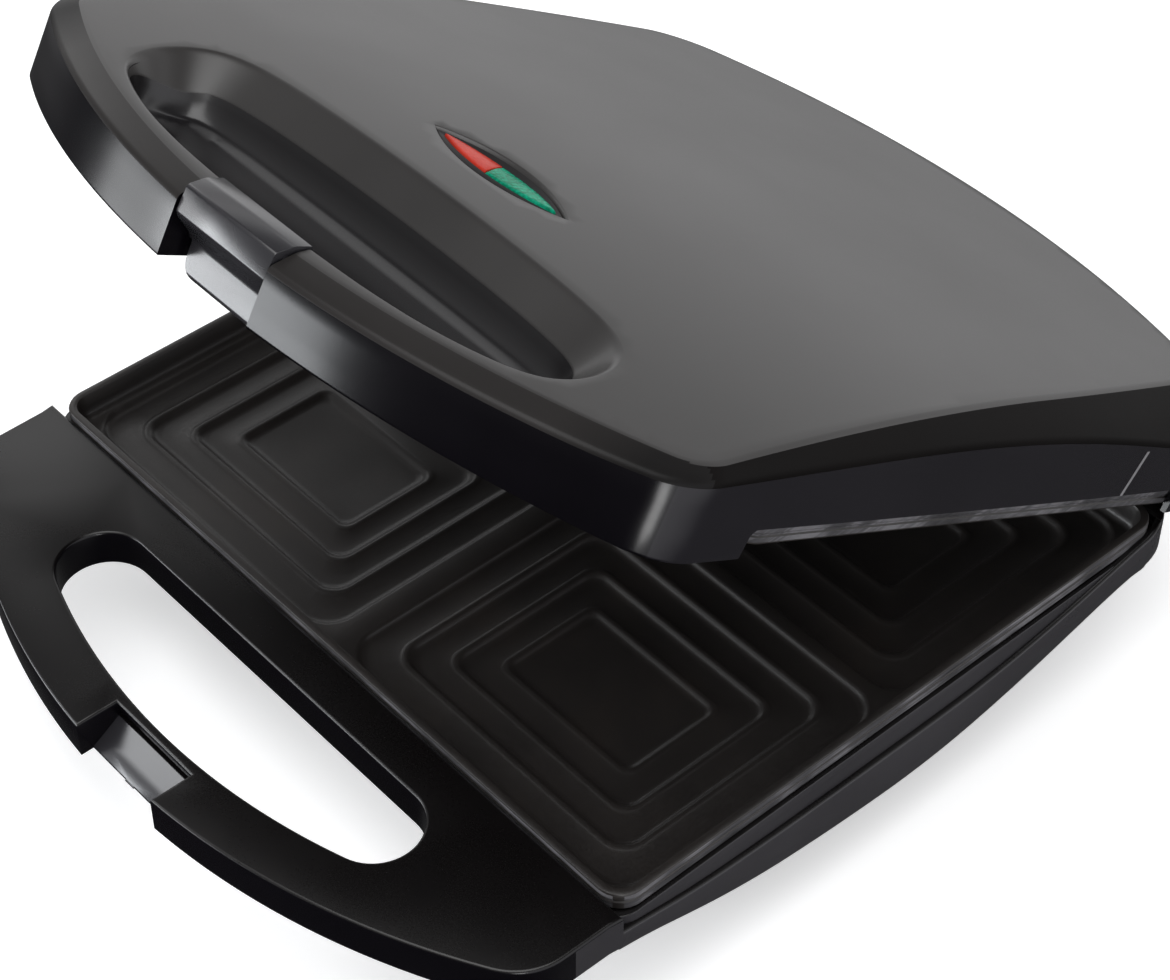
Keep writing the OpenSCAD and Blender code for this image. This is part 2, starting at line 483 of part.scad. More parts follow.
module lid_screws() color([0.55, 0.55, 0.56]) opened() {
  for (x = [-108, 108]) screw(x, -14, 56.8, 10, 1.4, 2.8);
  for (x = [-122, 122], y = [45, 165]) screw(x, y, 72, 9, 1.4, 2.8);
  for (x = [-60, 60]) screw(x, 229, 56.8, 12, 1.4, 2.8);
}
module hinge_arms() color([0.5, 0.5, 0.52]) opened() for (s = [-1, 1]) difference() {
  union() {
    xcyl(s*hinge_x - 8, s*hinge_x + 8, hinge_y, hinge_z, 6.4);
    slab(s*hinge_x - 6, s*hinge_x + 6, plate_d + 0.7, 225.6, hinge_z, 64);
    slab(s*hinge_x - 8.6, s*hinge_x + 8.6, 225, 231.6, 57.1, 59.5);
  }
  xcyl(s*hinge_x - 20, s*hinge_x + 20, hinge_y, hinge_z, hinge_pin_r + hinge_gap);
  zcyl(s*hinge_x, hinge_y, hinge_z, 70, 1.7);
  for (x = [-5.5, 5.5]) zcyl(s*hinge_x + x, 228.4, 50, 62, 1.3);
}
module hinge_arm_screws() color([0.6, 0.6, 0.6]) opened() for (s = [-1, 1], x = [-5.5, 5.5])
  screw(s*hinge_x + x, 228.4, 59.5, 4.6, 1.25, 2.4, -1);

module upper_plate() color([0.10, 0.09, 0.09]) opened() flip() plate([[-116, 14, 40.5], [116, 14, 40.5], [-116, 205, 40.5], [116, 205, 40.5]]);
module upper_plate_screws() color([0.6, 0.6, 0.6]) opened() for (x = [-116, 116], y = [14, 205]) screw(x, y, 74, 4, 1.25, 2.8, -1);
module upper_element() color([0.35, 0.33, 0.31]) opened() flip() element();
module upper_element_ends() color([0.85, 0.84, 0.80]) opened() flip() element_ends();
module upper_element_clips() color([0.7, 0.7, 0.7]) opened() flip() element_clips();
module upper_reflector() color([0.75, 0.75, 0.75]) opened() flip() reflector([[0, 60, 3]]);

module indicator_bezel() color([0.10, 0.10, 0.10]) opened() difference() {
  union() {
    translate([0, 0, 85.4]) linear_extrude(5) leaf2d(26.4, 7.5);
    translate([0, 0, 85.4]) linear_extrude(1.8) leaf2d(31, 11);
  }
  translate([0, 0, 80]) linear_extrude(15) leaf2d(23.2, 5.5);
}
module lens(s) intersection() {
  translate([0, 0, 86]) linear_extrude(4.8) leaf2d(23, 5.4);
  slab(s < 0 ? -40 : -3.85, s < 0 ? -4.15 : 40, 0, 44, 80, 100);
}
module red_lens() color([0.80, 0.10, 0.08]) opened() lens(-1);
module green_lens() color([0.05, 0.55, 0.35]) opened() lens(1);
module lamp_holder() color([0.85, 0.85, 0.82]) opened() translate([-2, 23, 0]) difference() {
  slab(-26, 26, -7, 7, 77.4, 85.2);
  slab(-30, 30, -4, 4, 82, 90);
  slab(-30, 30, -8, 8, 84, 90);
  for (x = [-10, 10]) xcyl(x - 7, x + 7, 0, 82, 3.3);
  xcyl(-30, 30, 0, 82, 1.5);
}
module neon_lamps() color([1, 0.6, 0.4]) opened() for (x = [-12, 8]) xcyl(x - 6, x + 6, 23, 82, 2.2);
module lid_wiring() color([0.8, 0.8, 0.78]) opened() {
  wire([[-95, hinge_y, hinge_z + 1], [-95, hinge_y, 65], [-95, 226, 70], [-93, 226, 79], [-60, 206, 80], [-12, 200, 78], [-6.6, 191, 75.6]], 1.2);
  wire([[7.4, 191, 75.6], [10, 202, 80], [40, 206, 84], [60, 200, 88], [60, 60, 88], [33, 29, 86.5], [22, 23, 82], [16.4, 23, 82]], 0.9);
  wire([[-9, 202, 81], [-30, 206, 86], [-60, 200, 88.5], [-60, 60, 88.5], [-37, 29, 86.5], [-26, 23, 82], [-20.4, 23, 82]], 0.9);
}
module latch_pin() color([0.75, 0.75, 0.76]) opened() xcyl(-23, 23, latch_y, latch_z, latch_pin_r);
module latch() color([0.22, 0.22, 0.24]) opened() difference() {
  union() {
    xprism(-17.6, 17.6, [[-57.2, 77.3], [-66.4, 77.1], [-69.3, 75.2], [-69.9, 67.6], [-68.9, 66], [-63.4, 61.8], [-62.4, 60.2],
      [-62.2, 51.4], [-61.2, 50.3], [-56.2, 50.3], [-56.2, 51.2], [-59.6, 52.4], [-59.6, 60.8], [-61.9, 64.4], [-66.8, 71.6], [-65.6, 74.4], [-57.2, 74.8]]);
    xcyl(-17.6, 17.6, latch_y, latch_z, 3);
    for (s = [-1, 1]) xprism(s*16.4 - 1.2, s*16.4 + 1.2, [[-59.2, 76], [-66, 76.4], [-68.6, 74.6], [-69, 68], [-67.6, 66], [-62, 61], [-59.4, 61], [-59.4, 70]]);
  }
  xcyl(-30, 30, latch_y, latch_z, latch_pin_r + 0.05);
  // rounded lower corners
  for (s = [-1, 1]) difference() {
    slab(s*15.6 - 2.01, s*15.6 + 2.01, -70, -50, 50.2, 54.4);
    translate([s*13.6, 0, 54.4]) rotate([90, 0, 0]) translate([0, 0, 40]) cylinder(h = 40, r = 4.1);
  }
}

base_shell();
base_handle_cover();
base_tub();
feet();
base_screws();
handle_screws();
lower_plate();
lower_plate_screws();
lower_element();
lower_element_ends();
lower_element_clips();
lower_reflector();
thermostat();
thermal_fuse();
terminal_block();
terminal_screws();
base_wiring();
cord_gland();
hinge_pins();
lid_shell();
lid_frame();
lid_handle_cover();
lid_screws();
hinge_arms();
hinge_arm_screws();
upper_plate();
upper_plate_screws();
upper_element();
upper_element_ends();
upper_element_clips();
upper_reflector();
indicator_bezel();
red_lens();
green_lens();
lamp_holder();
neon_lamps();
lid_wiring();
latch_pin();
latch();
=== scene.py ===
import math
import bmesh
import bpy
import numpy as np
from mathutils import Matrix, Vector
from mathutils.geometry import delaunay_2d_cdt


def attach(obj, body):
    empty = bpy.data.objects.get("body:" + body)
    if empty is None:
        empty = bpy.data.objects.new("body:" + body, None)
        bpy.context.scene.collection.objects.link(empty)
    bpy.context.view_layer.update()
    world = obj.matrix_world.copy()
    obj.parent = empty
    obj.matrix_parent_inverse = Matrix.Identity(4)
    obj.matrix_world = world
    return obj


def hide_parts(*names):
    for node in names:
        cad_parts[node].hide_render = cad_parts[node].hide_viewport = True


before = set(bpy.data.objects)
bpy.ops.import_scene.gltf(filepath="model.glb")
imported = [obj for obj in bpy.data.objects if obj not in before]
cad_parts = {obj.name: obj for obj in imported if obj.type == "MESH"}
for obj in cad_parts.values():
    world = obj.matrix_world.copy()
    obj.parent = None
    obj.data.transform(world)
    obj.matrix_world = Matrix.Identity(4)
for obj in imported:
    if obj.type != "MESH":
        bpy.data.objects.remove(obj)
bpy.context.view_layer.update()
D = bpy.data

# ---------------------------------------------------------------- frames
# Shapes are written in millimetres with the lid shut: x right, y back from the
# plates' front edge, z up from the worktop. Lid pieces then turn about the hinge.
SHIFT = -102.437
OPEN = math.radians(29.84)
HY, HZ = 222.6, 39.8


def to_base(p):
    p = np.asarray(p, float).reshape(-1, 3).copy()
    p[:, 1] += SHIFT
    return p / 1000.0


def to_lid(p):
    p = np.asarray(p, float).reshape(-1, 3)
    dy, dz = p[:, 1] - HY, p[:, 2] - HZ
    q = p.copy()
    q[:, 1] = HY + dy * math.cos(OPEN) + dz * math.sin(OPEN) + SHIFT
    q[:, 2] = HZ - dy * math.sin(OPEN) + dz * math.cos(OPEN)
    return q / 1000.0


# ---------------------------------------------------------------- mesh tools
class Build:
    """Collects vertices and faces, with loops of vertex numbers joined by strips."""

    def __init__(self):
        self.v, self.f, self.n = [], [], 0

    def add(self, pts):
        pts = np.asarray(pts, float).reshape(-1, 3)
        i = np.arange(self.n, self.n + len(pts))
        self.v.append(pts)
        self.n += len(pts)
        return i

    def strip(self, a, b, closed=True):
        m = len(a)
        for i in range(m if closed else m - 1):
            j = (i + 1) % m
            self.f.append((int(a[i]), int(a[j]), int(b[j]), int(b[i])))

    def fan(self, a, c):
        m = len(a)
        for i in range(m):
            self.f.append((int(a[i]), int(a[(i + 1) % m]), int(c)))

    def pts(self, idx):
        return np.vstack(self.v)[np.asarray(idx)]

    def fill(self, loops, inner=None, zf=None, up=True, ax=(0, 1)):
        """Triangles between loops of existing vertices, outer first, with optional inner points."""
        allv = np.vstack(self.v)
        ids = [int(i) for lp in loops for i in lp]
        co = [(float(allv[i][ax[0]]), float(allv[i][ax[1]])) for i in ids]
        edges, k = [], 0
        polys = []
        for lp in loops:
            m = len(lp)
            edges += [(k + i, k + (i + 1) % m) for i in range(m)]
            polys.append(np.array(co[k:k + m]))
            k += m
        n0 = len(co)
        if inner is not None and len(inner):
            co += [(float(a), float(b)) for a, b in inner]
            z = zf(np.array(inner)[:, 0], np.array(inner)[:, 1])
            new = self.add(np.c_[np.array(inner), z])
            ids += [int(i) for i in new]
        vo, eo, fo, ov, oe, of = delaunay_2d_cdt([Vector(c) for c in co], edges, [], 0, 1e-6, True)
        mp = [ids[o[0]] if len(o) else None for o in ov]
        vo = np.array([(v[0], v[1]) for v in vo])
        for t in fo:
            c = vo[list(t)].mean(axis=0)
            if not inside(polys[0], c) or any(inside(q, c) for q in polys[1:]):
                continue
            g = [mp[i] for i in t]
            if None in g:
                raise RuntimeError("a fill made a new point near %s" % str(c))
            a, b, cc = vo[t[0]], vo[t[1]], vo[t[2]]
            s = (b[0] - a[0]) * (cc[1] - a[1]) - (b[1] - a[1]) * (cc[0] - a[0])
            if (s > 0) != up:
                g = g[::-1]
            self.f.append(tuple(g))

    def mesh(self, name, place):
        me = D.meshes.new(name)
        me.from_pydata([tuple(p) for p in place(np.vstack(self.v))], [], self.f)
        me.validate()
        bm = bmesh.new()
        bm.from_mesh(me)
        loose = [v for v in bm.verts if not v.link_faces]
        bmesh.ops.delete(bm, geom=loose, context="VERTS")
        if len(bm.faces) > 1:
            bmesh.ops.recalc_face_normals(bm, faces=bm.faces)
        bm.to_mesh(me)
        bm.free()
        me.update()
        ob = D.objects.new(name, me)
        bpy.context.scene.collection.objects.link(ob)
        return ob


def inside(poly, c):
    x, y = c
    a, b = poly, np.roll(poly, -1, axis=0)
    hit = ((a[:, 1] > y) != (b[:, 1] > y))
    with np.errstate(divide="ignore", invalid="ignore"):
        xs = (b[:, 0] - a[:, 0]) * (y - a[:, 1]) / (b[:, 1] - a[:, 1]) + a[:, 0]
    return bool(np.count_nonzero(hit & (x < xs)) % 2)


def near_poly(poly, pts, gap):
    """True for the points closer than gap to the polygon's edges."""
    a, b = poly, np.roll(poly, -1, axis=0)
    ab = b - a
    L = (ab ** 2).sum(1) + 1e-12
    out = np.zeros(len(pts), bool)
    for k, p in enumerate(pts):
        t = np.clip(((p - a) * ab).sum(1) / L, 0, 1)
        q = a + ab * t[:, None]
        out[k] = (((p - q) ** 2).sum(1) < gap * gap).any()
    return out


def offset(loop, d):
    """The closed 2-D loop moved to its left by d (inwards for a loop that runs anticlockwise)."""
    p = np.asarray(loop, float)
    if np.ndim(d) == 0 and d == 0:
        return p.copy()
    e = np.roll(p, -1, axis=0) - p
    n = np.c_[-e[:, 1], e[:, 0]] / np.linalg.norm(e, axis=1)[:, None]
    m = n + np.roll(n, 1, axis=0)
    m /= np.maximum((m * np.roll(n, 1, axis=0)).sum(1), 0.35)[:, None]
    return p + m * (np.asarray(d).reshape(-1, 1) if np.ndim(d) else d)


def spline(ctrl, n, closed=False):
    """Smooth curve through the control points, evenly spaced."""
    c = np.asarray(ctrl, float)
    m = len(c)
    out = []
    seg = m if closed else m - 1
    for i in range(seg):
        if closed:
            p = [c[(i + k) % m] for k in (-1, 0, 1, 2)]
        else:
            p = [c[max(0, min(m - 1, i + k))] for k in (-1, 0, 1, 2)]
            if i == 0:
                p[0] = 2 * c[0] - c[1]
            if i == m - 2:
                p[3] = 2 * c[-1] - c[-2]
        d = [max(np.linalg.norm(p[k + 1] - p[k]), 1e-6) ** 0.5 for k in range(3)]
        t0, t1, t2, t3 = 0, d[0], d[0] + d[1], d[0] + d[1] + d[2]
        for t in np.linspace(t1, t2, 16, endpoint=False):
            a1 = (t1 - t) / (t1 - t0) * p[0] + (t - t0) / (t1 - t0) * p[1]
            a2 = (t2 - t) / (t2 - t1) * p[1] + (t - t1) / (t2 - t1) * p[2]
            a3 = (t3 - t) / (t3 - t2) * p[2] + (t - t2) / (t3 - t2) * p[3]
            b1 = (t2 - t) / (t2 - t0) * a1 + (t - t0) / (t2 - t0) * a2
            b2 = (t3 - t) / (t3 - t1) * a2 + (t - t1) / (t3 - t1) * a3
            out.append((t2 - t) / (t2 - t1) * b1 + (t - t1) / (t2 - t1) * b2)
    if not closed:
        out.append(c[-1])
    return resample(np.array(out), n, closed)


def resample(p, n, closed=False):
    q = np.vstack([p, p[:1]]) if closed else p
    s = np.r_[0, np.cumsum(np.linalg.norm(np.diff(q, axis=0), axis=1))]
    t = np.linspace(0, s[-1], n + 1)[:-1] if closed else np.linspace(0, s[-1], n)
    return np.array([[np.interp(a, s, q[:, k]) for k in range(q.shape[1])] for a in t])


def corner(p0, p1, p2, r, n=5):
    """A rounded corner at p1 between p0 and p2, r being how far it reaches along each side. Arrays of points work too."""
    a, b = p0 - p1, p2 - p1
    la, lb = np.linalg.norm(a, axis=-1, keepdims=True), np.linalg.norm(b, axis=-1, keepdims=True)
    ra, rb = np.minimum(r, la * 0.49), np.minimum(r, lb * 0.49)
    s, e = p1 + a / np.maximum(la, 1e-9) * ra, p1 + b / np.maximum(lb, 1e-9) * rb
    return [(1 - t) ** 2 * s + 2 * t * (1 - t) * (p1 * 0.85 + (s + e) * 0.075) + t ** 2 * e for t in np.linspace(0, 1, n)]


def rounded_rect(x0, x1, y0, y1, r, k=8, m=1):
    """Anticlockwise, k steps a corner, m steps a side."""
    out = []
    for cx, cy, a in ((x1 - r, y0 + r, -90), (x1 - r, y1 - r, 0), (x0 + r, y1 - r, 90), (x0 + r, y0 + r, 180)):
        for i in range(k + 1):
            t = math.radians(a + 90 * i / k)
            out.append((cx + r * math.cos(t), cy + r * math.sin(t)))
        if m > 1:
            nx, ny = {-90: (x1, y1 - r), 0: (x0 + r, y1), 90: (x0, y0 + r), 180: (x1 - r, y0)}[a]
            px, py = out[-1]
            out += [(px + (nx - px) * j / m, py + (ny - py) * j / m) for j in range(1, m)]
    return np.array(out)


def area_of(p):
    q = np.roll(p, -1, axis=0)
    return float((p[:, 0] * q[:, 1] - q[:, 0] * p[:, 1]).sum()) / 2


def clean(lp, gap=1e-3):
    """The loop without points that repeat."""
    lp = np.asarray(lp, float)
    return lp[np.linalg.norm(lp - np.roll(lp, 1, axis=0), axis=1) > gap]


def distance(poly, pts):
    """How far each point lies from the polygon's edges."""
    a, b = poly, np.roll(poly, -1, axis=0)
    ab = b - a
    L = (ab ** 2).sum(1) + 1e-12
    out = np.zeros(len(pts))
    for k, p in enumerate(pts):
        t = np.clip(((p - a) * ab).sum(1) / L, 0, 1)
        out[k] = math.sqrt(float((((p - (a + ab * t[:, None])) ** 2).sum(1)).min()))
    return out


def prism(loops, z0, z1, rt=0.6, rb=0.0, n=4, ax=None):
    """A solid between two planes with rounded edges. loops: the outer one anticlockwise, holes clockwise."""
    b = Build()
    tops, bots = [], []
    for k, lp in enumerate(loops):
        lp = clean(lp)
        if (area_of(lp) > 0) != (k == 0):
            lp = lp[::-1]
        prof = []
        if rb:
            prof += [(rb * (1 - math.sin(t)), z0 + rb * (1 - math.cos(t))) for t in np.linspace(0, math.pi / 2, n + 1)]
        else:
            prof += [(0, z0)]
        if rt:
            prof += [(rt * (1 - math.cos(t)), z1 - rt * (1 - math.sin(t))) for t in np.linspace(0, math.pi / 2, n + 1)]
        else:
            prof += [(0, z1)]
        rings = []
        for d, z in prof:
            q = offset(lp, d)
            rings.append(b.add(np.c_[q, np.full(len(q), z)]))
        for r0, r1 in zip(rings, rings[1:]):
            b.strip(r0, r1)
        bots.append(rings[0])
        tops.append(rings[-1])
    b.fill(tops, up=True)
    b.fill(bots, up=False)
    if ax is not None:
        b.v = [ax(v) for v in b.v]
    return b


def yz(v):
    """A prism drawn in (y, z) and raised along x."""
    return np.c_[v[:, 2], v[:, 0], v[:, 1]]


def block(x0, x1, y0, y1, z0, z1):
    return prism([np.array([(x0, y0), (x1, y0), (x1, y1), (x0, y1)])], z0, z1, 0, 0)


def boolean(ob, other, how="DIFFERENCE"):
    m = ob.modifiers.new("b", "BOOLEAN")
    m.operation, m.object, m.solver = how, other, "MANIFOLD"
    bpy.context.view_layer.update()
    ev = ob.evaluated_get(bpy.context.evaluated_depsgraph_get())
    me = D.meshes.new_from_object(ev)
    if len(me.polygons) == 0 or len(me.vertices) == 0:
        m.solver = "EXACT"
        bpy.context.view_layer.update()
        me = D.meshes.new_from_object(ob.evaluated_get(bpy.context.evaluated_depsgraph_get()))
    ob.modifiers.remove(m)
    old = ob.data
    ob.data = me
    D.meshes.remove(old)
    D.objects.remove(other)
    return ob


def tidy(ob, angle=32, merge=2e-6):
    """Joins doubles and shades smooth, with edges sharper than the angle kept crisp."""
    bm = bmesh.new()
    bm.from_mesh(ob.data)
    bmesh.ops.remove_doubles(bm, verts=bm.verts, dist=merge)
    bmesh.ops.dissolve_degenerate(bm, dist=merge, edges=bm.edges)
    lim = math.radians(angle)
    for f in bm.faces:
        f.smooth = True
    for e in bm.edges:
        if len(e.link_faces) == 2:
            e.smooth = e.calc_face_angle(0.0) < lim
        else:
            e.smooth = False
    bm.to_mesh(ob.data)
    bm.free()
    ob.data.update()
    return ob


# ---------------------------------------------------------------- outlines
def arc(cx, cy, r, a0, a1, n):
    t = np.radians(np.linspace(a0, a1, n + 1))
    return np.c_[cx + r * np.cos(t), cy + r * np.sin(t)]


def tangent_centre(c1, r1, c2, r2, rc, sg):
    d = np.linalg.norm(c2 - c1)
    a, b = r1 - rc, r2 - rc
    e = (c2 - c1) / d
    h = (a * a - b * b + d * d) / (2 * d)
    k = math.sqrt(max(a * a - h * h, 0))
    return c1 + h * e + sg * k * np.array([-e[1], e[0]])


def half_outline(yf, rf, xs, ys, rs, yb, rb, c1, c2, counts=(44, 16, 60, 16, 44)):
    F, S_, B = np.array([0, yf + rf]), np.array([xs - rs, ys]), np.array([0, yb - rb])
    K = tangent_centre(F, rf, S_, rs, c1, 1)
    if K[0] < 0 or K[1] > ys:
        K = tangent_centre(F, rf, S_, rs, c1, -1)
    L = tangent_centre(B, rb, S_, rs, c2, -1)
    if L[0] < 0 or L[1] < ys:
        L = tangent_centre(B, rb, S_, rs, c2, 1)
    ang = lambda v: math.degrees(math.atan2(v[1], v[0]))
    a1, a2, a3, a4 = ang(K - F), ang(K - S_), ang(L - S_), ang(L - B)
    return [arc(F[0], F[1], rf, -90, a1, counts[0]), arc(K[0], K[1], c1, a1, a2, counts[1]),
            arc(S_[0], S_[1], rs, a2, a3, counts[2]), arc(L[0], L[1], c2, a3, a4, counts[3]), arc(B[0], B[1], rb, a4, 90, counts[4])]


def whole(segs):
    h = segs[0]
    for s in segs[1:]:
        h = np.vstack([h, s[1:]])
    return np.vstack([h, h[-2:0:-1] * [-1, 1]])


REACH, HW = 71.13, 132.99


def casing(d=0.0, yb=232.5):
    return whole(half_outline(-REACH + d, 240 - d, HW - d, 98, 9000, yb - d, 3000, 20 - d, 18 - d))


def lid_bottom(d=0.0):
    return whole(half_outline(-REACH + d, 240 - d, HW - d, 98, 9000, 240 - d, 900, 20 - d, 24 - d))


def lid_edge(d=0.0):
    return whole(half_outline(-REACH + 7.5 + d, 240 - 7.5 - d, 128 - d, -10, 2450, 250 - d, 260, 14, 26))


def top_z(x, y):
    k = np.where(y < 120, 6.35e-4, 6e-5)
    return 97.0 - k * (y - 120) ** 2 - 4.5 * (x / 128) ** 2


ARCH = np.polyfit([-40, -31, -27, 0, 34, 67, 105, 169, 200, 240], [75.9, 76.4, 76.8, 78.6, 80.9, 83.0, 83.9, 81.0, 78.4, 75.0], 5)


def smooth01(t):
    t = np.clip(t, 0, 1)
    return t * t * (3 - 2 * t)


def mirror_half(pts):
    """Right half, near middle to far middle, to an anticlockwise loop."""
    p = np.asarray(pts, float)
    return np.vstack([p, p[-2:0:-1] * [-1, 1]])


# ---------------------------------------------------------------- lid shell
RIM = [(0, -59), (25, -57.7), (40, -56.2), (55, -53.4), (65, -50.4), (73, -47.2), (80, -43.4), (85, -38.6), (88, -32), (88.6, -25),
       (86.5, -17), (81.5, -10.6), (73, -6.8), (60, -5.0), (40, -4.2), (20, -3.9), (0, -3.8)]


def sill_of(rim):
    """Inner edge of the recess's sloping band: narrow behind the bar, wide on the far side."""
    far = smooth01((rim[:, 1] + 46) / 30)
    q = offset(rim, 1.2 + 7.0 * far)
    return q, 2.4 + 7.4 * far


LEAF = (-2.0, 23.0)


def leaf(a, b, n=28):
    R = (a * a + b * b) / (2 * b)
    t = math.asin(a / R)
    lo = [(LEAF[0] + R * math.sin(u), LEAF[1] - b + R - R * math.cos(u)) for u in np.linspace(-t, t, n)]
    hi = [(LEAF[0] + R * math.sin(u), LEAF[1] + b - R + R * math.cos(u)) for u in np.linspace(t, -t, n)]
    return np.array(lo[:-1] + hi[:-1])


def lid_outer():
    b = Build()
    B, E = lid_bottom(), lid_edge()
    T = lid_edge(1.8)
    ze, zt = top_z(E[:, 0], E[:, 1]), top_z(T[:, 0], T[:, 1])
    y = B[:, 1]
    f = smooth01((y + 48) / 30)
    zw = (1 - f) * (ze - 4.1) + f * np.polyval(ARCH, y)
    g = smooth01((y - 205) / 30)
    zw = (1 - g) * zw + g * 80
    out = g * 6.0
    P0 = np.c_[B, np.full(len(B), 54.5)]
    P1 = np.c_[B[:, 0], B[:, 1] + out * 0.6, zw]
    P2 = np.c_[E, ze]
    P3 = np.c_[T, zt]
    c = offset(B, 0.8)
    Pm = np.c_[c, np.full(len(B), 54.5)]
    rings = [Pm] + corner(Pm, P0, P1, 0.8, 4)
    rings += [P0 + (P1 - P0) * t for t in (0.35, 0.7)]
    rings += corner(P0, P1, P2, 1.3, 5) + [P1 * 0.5 + P2 * 0.5] + corner(P1, P2, P3, 1.9, 6)
    idx = [b.add(r) for r in rings]
    for r0, r1 in zip(idx, idx[1:]):
        b.strip(r0, r1)
    b.fill([idx[0]], up=False)
    # finger recess: rim, steep band, sill, bowl
    rim = mirror_half(resample(spline(RIM, 200), 90))
    zr = top_z(rim[:, 0], rim[:, 1])
    sill, deep = sill_of(rim)
    zs = zr - deep
    out_rim = offset(rim, -2.0)
    R0 = np.c_[out_rim, top_z(out_rim[:, 0], out_rim[:, 1])]
    R1 = np.c_[rim, zr]
    R2 = np.c_[sill, zs]
    floor_z = 64.6

    def drop(d):
        return 0.62 * (1 - (1 - np.clip(d / 4.4, 0, 1)) ** 2) + 0.38 * (1 - (1 - np.clip(d / 20, 0, 1)) ** 2)

    def sill_z(x, y):
        return top_z(x, y) - (2.4 + 7.4 * smooth01((y + 42) / 26))

    steps = [np.c_[offset(sill, d), zs + (floor_z - zs) * drop(d)] for d in (0.8, 1.6, 2.4, 3.2, 4.0, 5.0)]
    first = steps[-1][:, :2]
    rr = corner(R0, R1, R2, 2.2, 7) + [R1 * 0.6 + R2 * 0.4] + corner(R1, R2, steps[0], 0.4, 4) + steps
    hole = [b.add(r) for r in rr]
    for r0, r1 in zip(hole, hole[1:]):
        b.strip(r0, r1)
    gx, gy = np.meshgrid(np.arange(-84, 84.1, 1.75), np.arange(-58, -6, 1.75))
    inner = np.c_[gx.ravel(), gy.ravel()]
    inner = inner[np.array([inside(first, p) for p in inner])]
    inner = inner[~near_poly(first, inner, 0.9)]
    dd = distance(sill, inner)
    zi = sill_z(inner[:, 0], inner[:, 1])
    zi = zi + (floor_z - zi) * drop(dd)
    b.fill([hole[-1]], inner, lambda x, y: zi, up=True)
    # shallow seat round the indicator
    lf = leaf(27.4, 8.6)
    L0 = np.c_[offset(lf, -0.7), top_z(*offset(lf, -0.7).T)]
    L1 = np.c_[lf, top_z(*lf.T)]
    l2 = leaf(26.5, 7.6)
    L2 = np.c_[l2, top_z(*l2.T) - 1.6]
    L3 = np.c_[l2, np.full(len(l2), 80.0)]
    lr = corner(L0, L1, L2, 0.7, 4) + [L2, L3]
    lid_ = [b.add(r) for r in lr]
    for r0, r1 in zip(lid_, lid_[1:]):
        b.strip(r0, r1)
    b.fill([lid_[-1]], up=True)
    # crowned top
    gx, gy = np.meshgrid(np.arange(-124, 125, 4.0), np.arange(-60, 252, 4.0))
    inner = np.c_[gx.ravel(), gy.ravel()]
    tl, hl, ll = b.pts(idx[-1])[:, :2], b.pts(hole[0])[:, :2], b.pts(lid_[0])[:, :2]
    keep = np.array([inside(tl, p) and not inside(hl, p) and not inside(ll, p) for p in inner])
    inner = inner[keep]
    for lp in (tl, hl, ll):
        inner = inner[~near_poly(lp, inner, 1.6)]
    b.fill([idx[-1], hole[0], lid_[0]], inner, top_z, up=True)
    return b, rim, zr


def lid_cavity():
    """The hollow of the lid: the outer form drawn in by the wall's thickness."""
    b = Build()
    B, E = lid_bottom(2.5), lid_edge(2.0)
    ze = top_z(E[:, 0], E[:, 1]) - 2.6
    y = B[:, 1]
    f = smooth01((y + 48) / 30)
    zw = (1 - f) * (ze - 4.1) + f * (np.polyval(ARCH, y) - 1.6)
    r = [np.c_[B, np.full(len(B), 50.0)], np.c_[B, np.minimum(zw, ze - 1)], np.c_[E, ze]]
    idx = [b.add(q) for q in r]
    for r0, r1 in zip(idx, idx[1:]):
        b.strip(r0, r1)
    b.fill([idx[0]], up=False)
    gx, gy = np.meshgrid(np.arange(-120, 121, 8.0), np.arange(-60, 252, 8.0))
    inner = np.c_[gx.ravel(), gy.ravel()]
    tl = b.pts(idx[-1])[:, :2]
    inner = inner[np.array([inside(tl, p) for p in inner])]
    inner = inner[~near_poly(tl, inner, 3.0)]
    b.fill([idx[-1]], inner, lambda x, y: top_z(x, y) - 2.6, up=True)
    return b


def recess_tub():
    """The recess drawn outwards by its wall, with a tall top: kept out of the cavity."""
    rim = mirror_half(resample(spline(RIM, 200), 60))
    b = Build()
    zr = top_z(rim[:, 0], rim[:, 1])
    sill, deep = sill_of(rim)
    zs = zr - deep
    rows = [np.c_[offset(sill, 2.5), np.full(len(sill), 62.4)], np.c_[offset(sill, -1.8), zs - 3.2], np.c_[offset(rim, -2.2), zr - 1.6], np.c_[offset(rim, -2.2), np.full(len(rim), 112.0)]]
    idx = [b.add(r) for r in rows]
    for r0, r1 in zip(idx, idx[1:]):
        b.strip(r0, r1)
    b.fill([idx[0]], up=False)
    b.fill([idx[-1]], up=True)
    return b


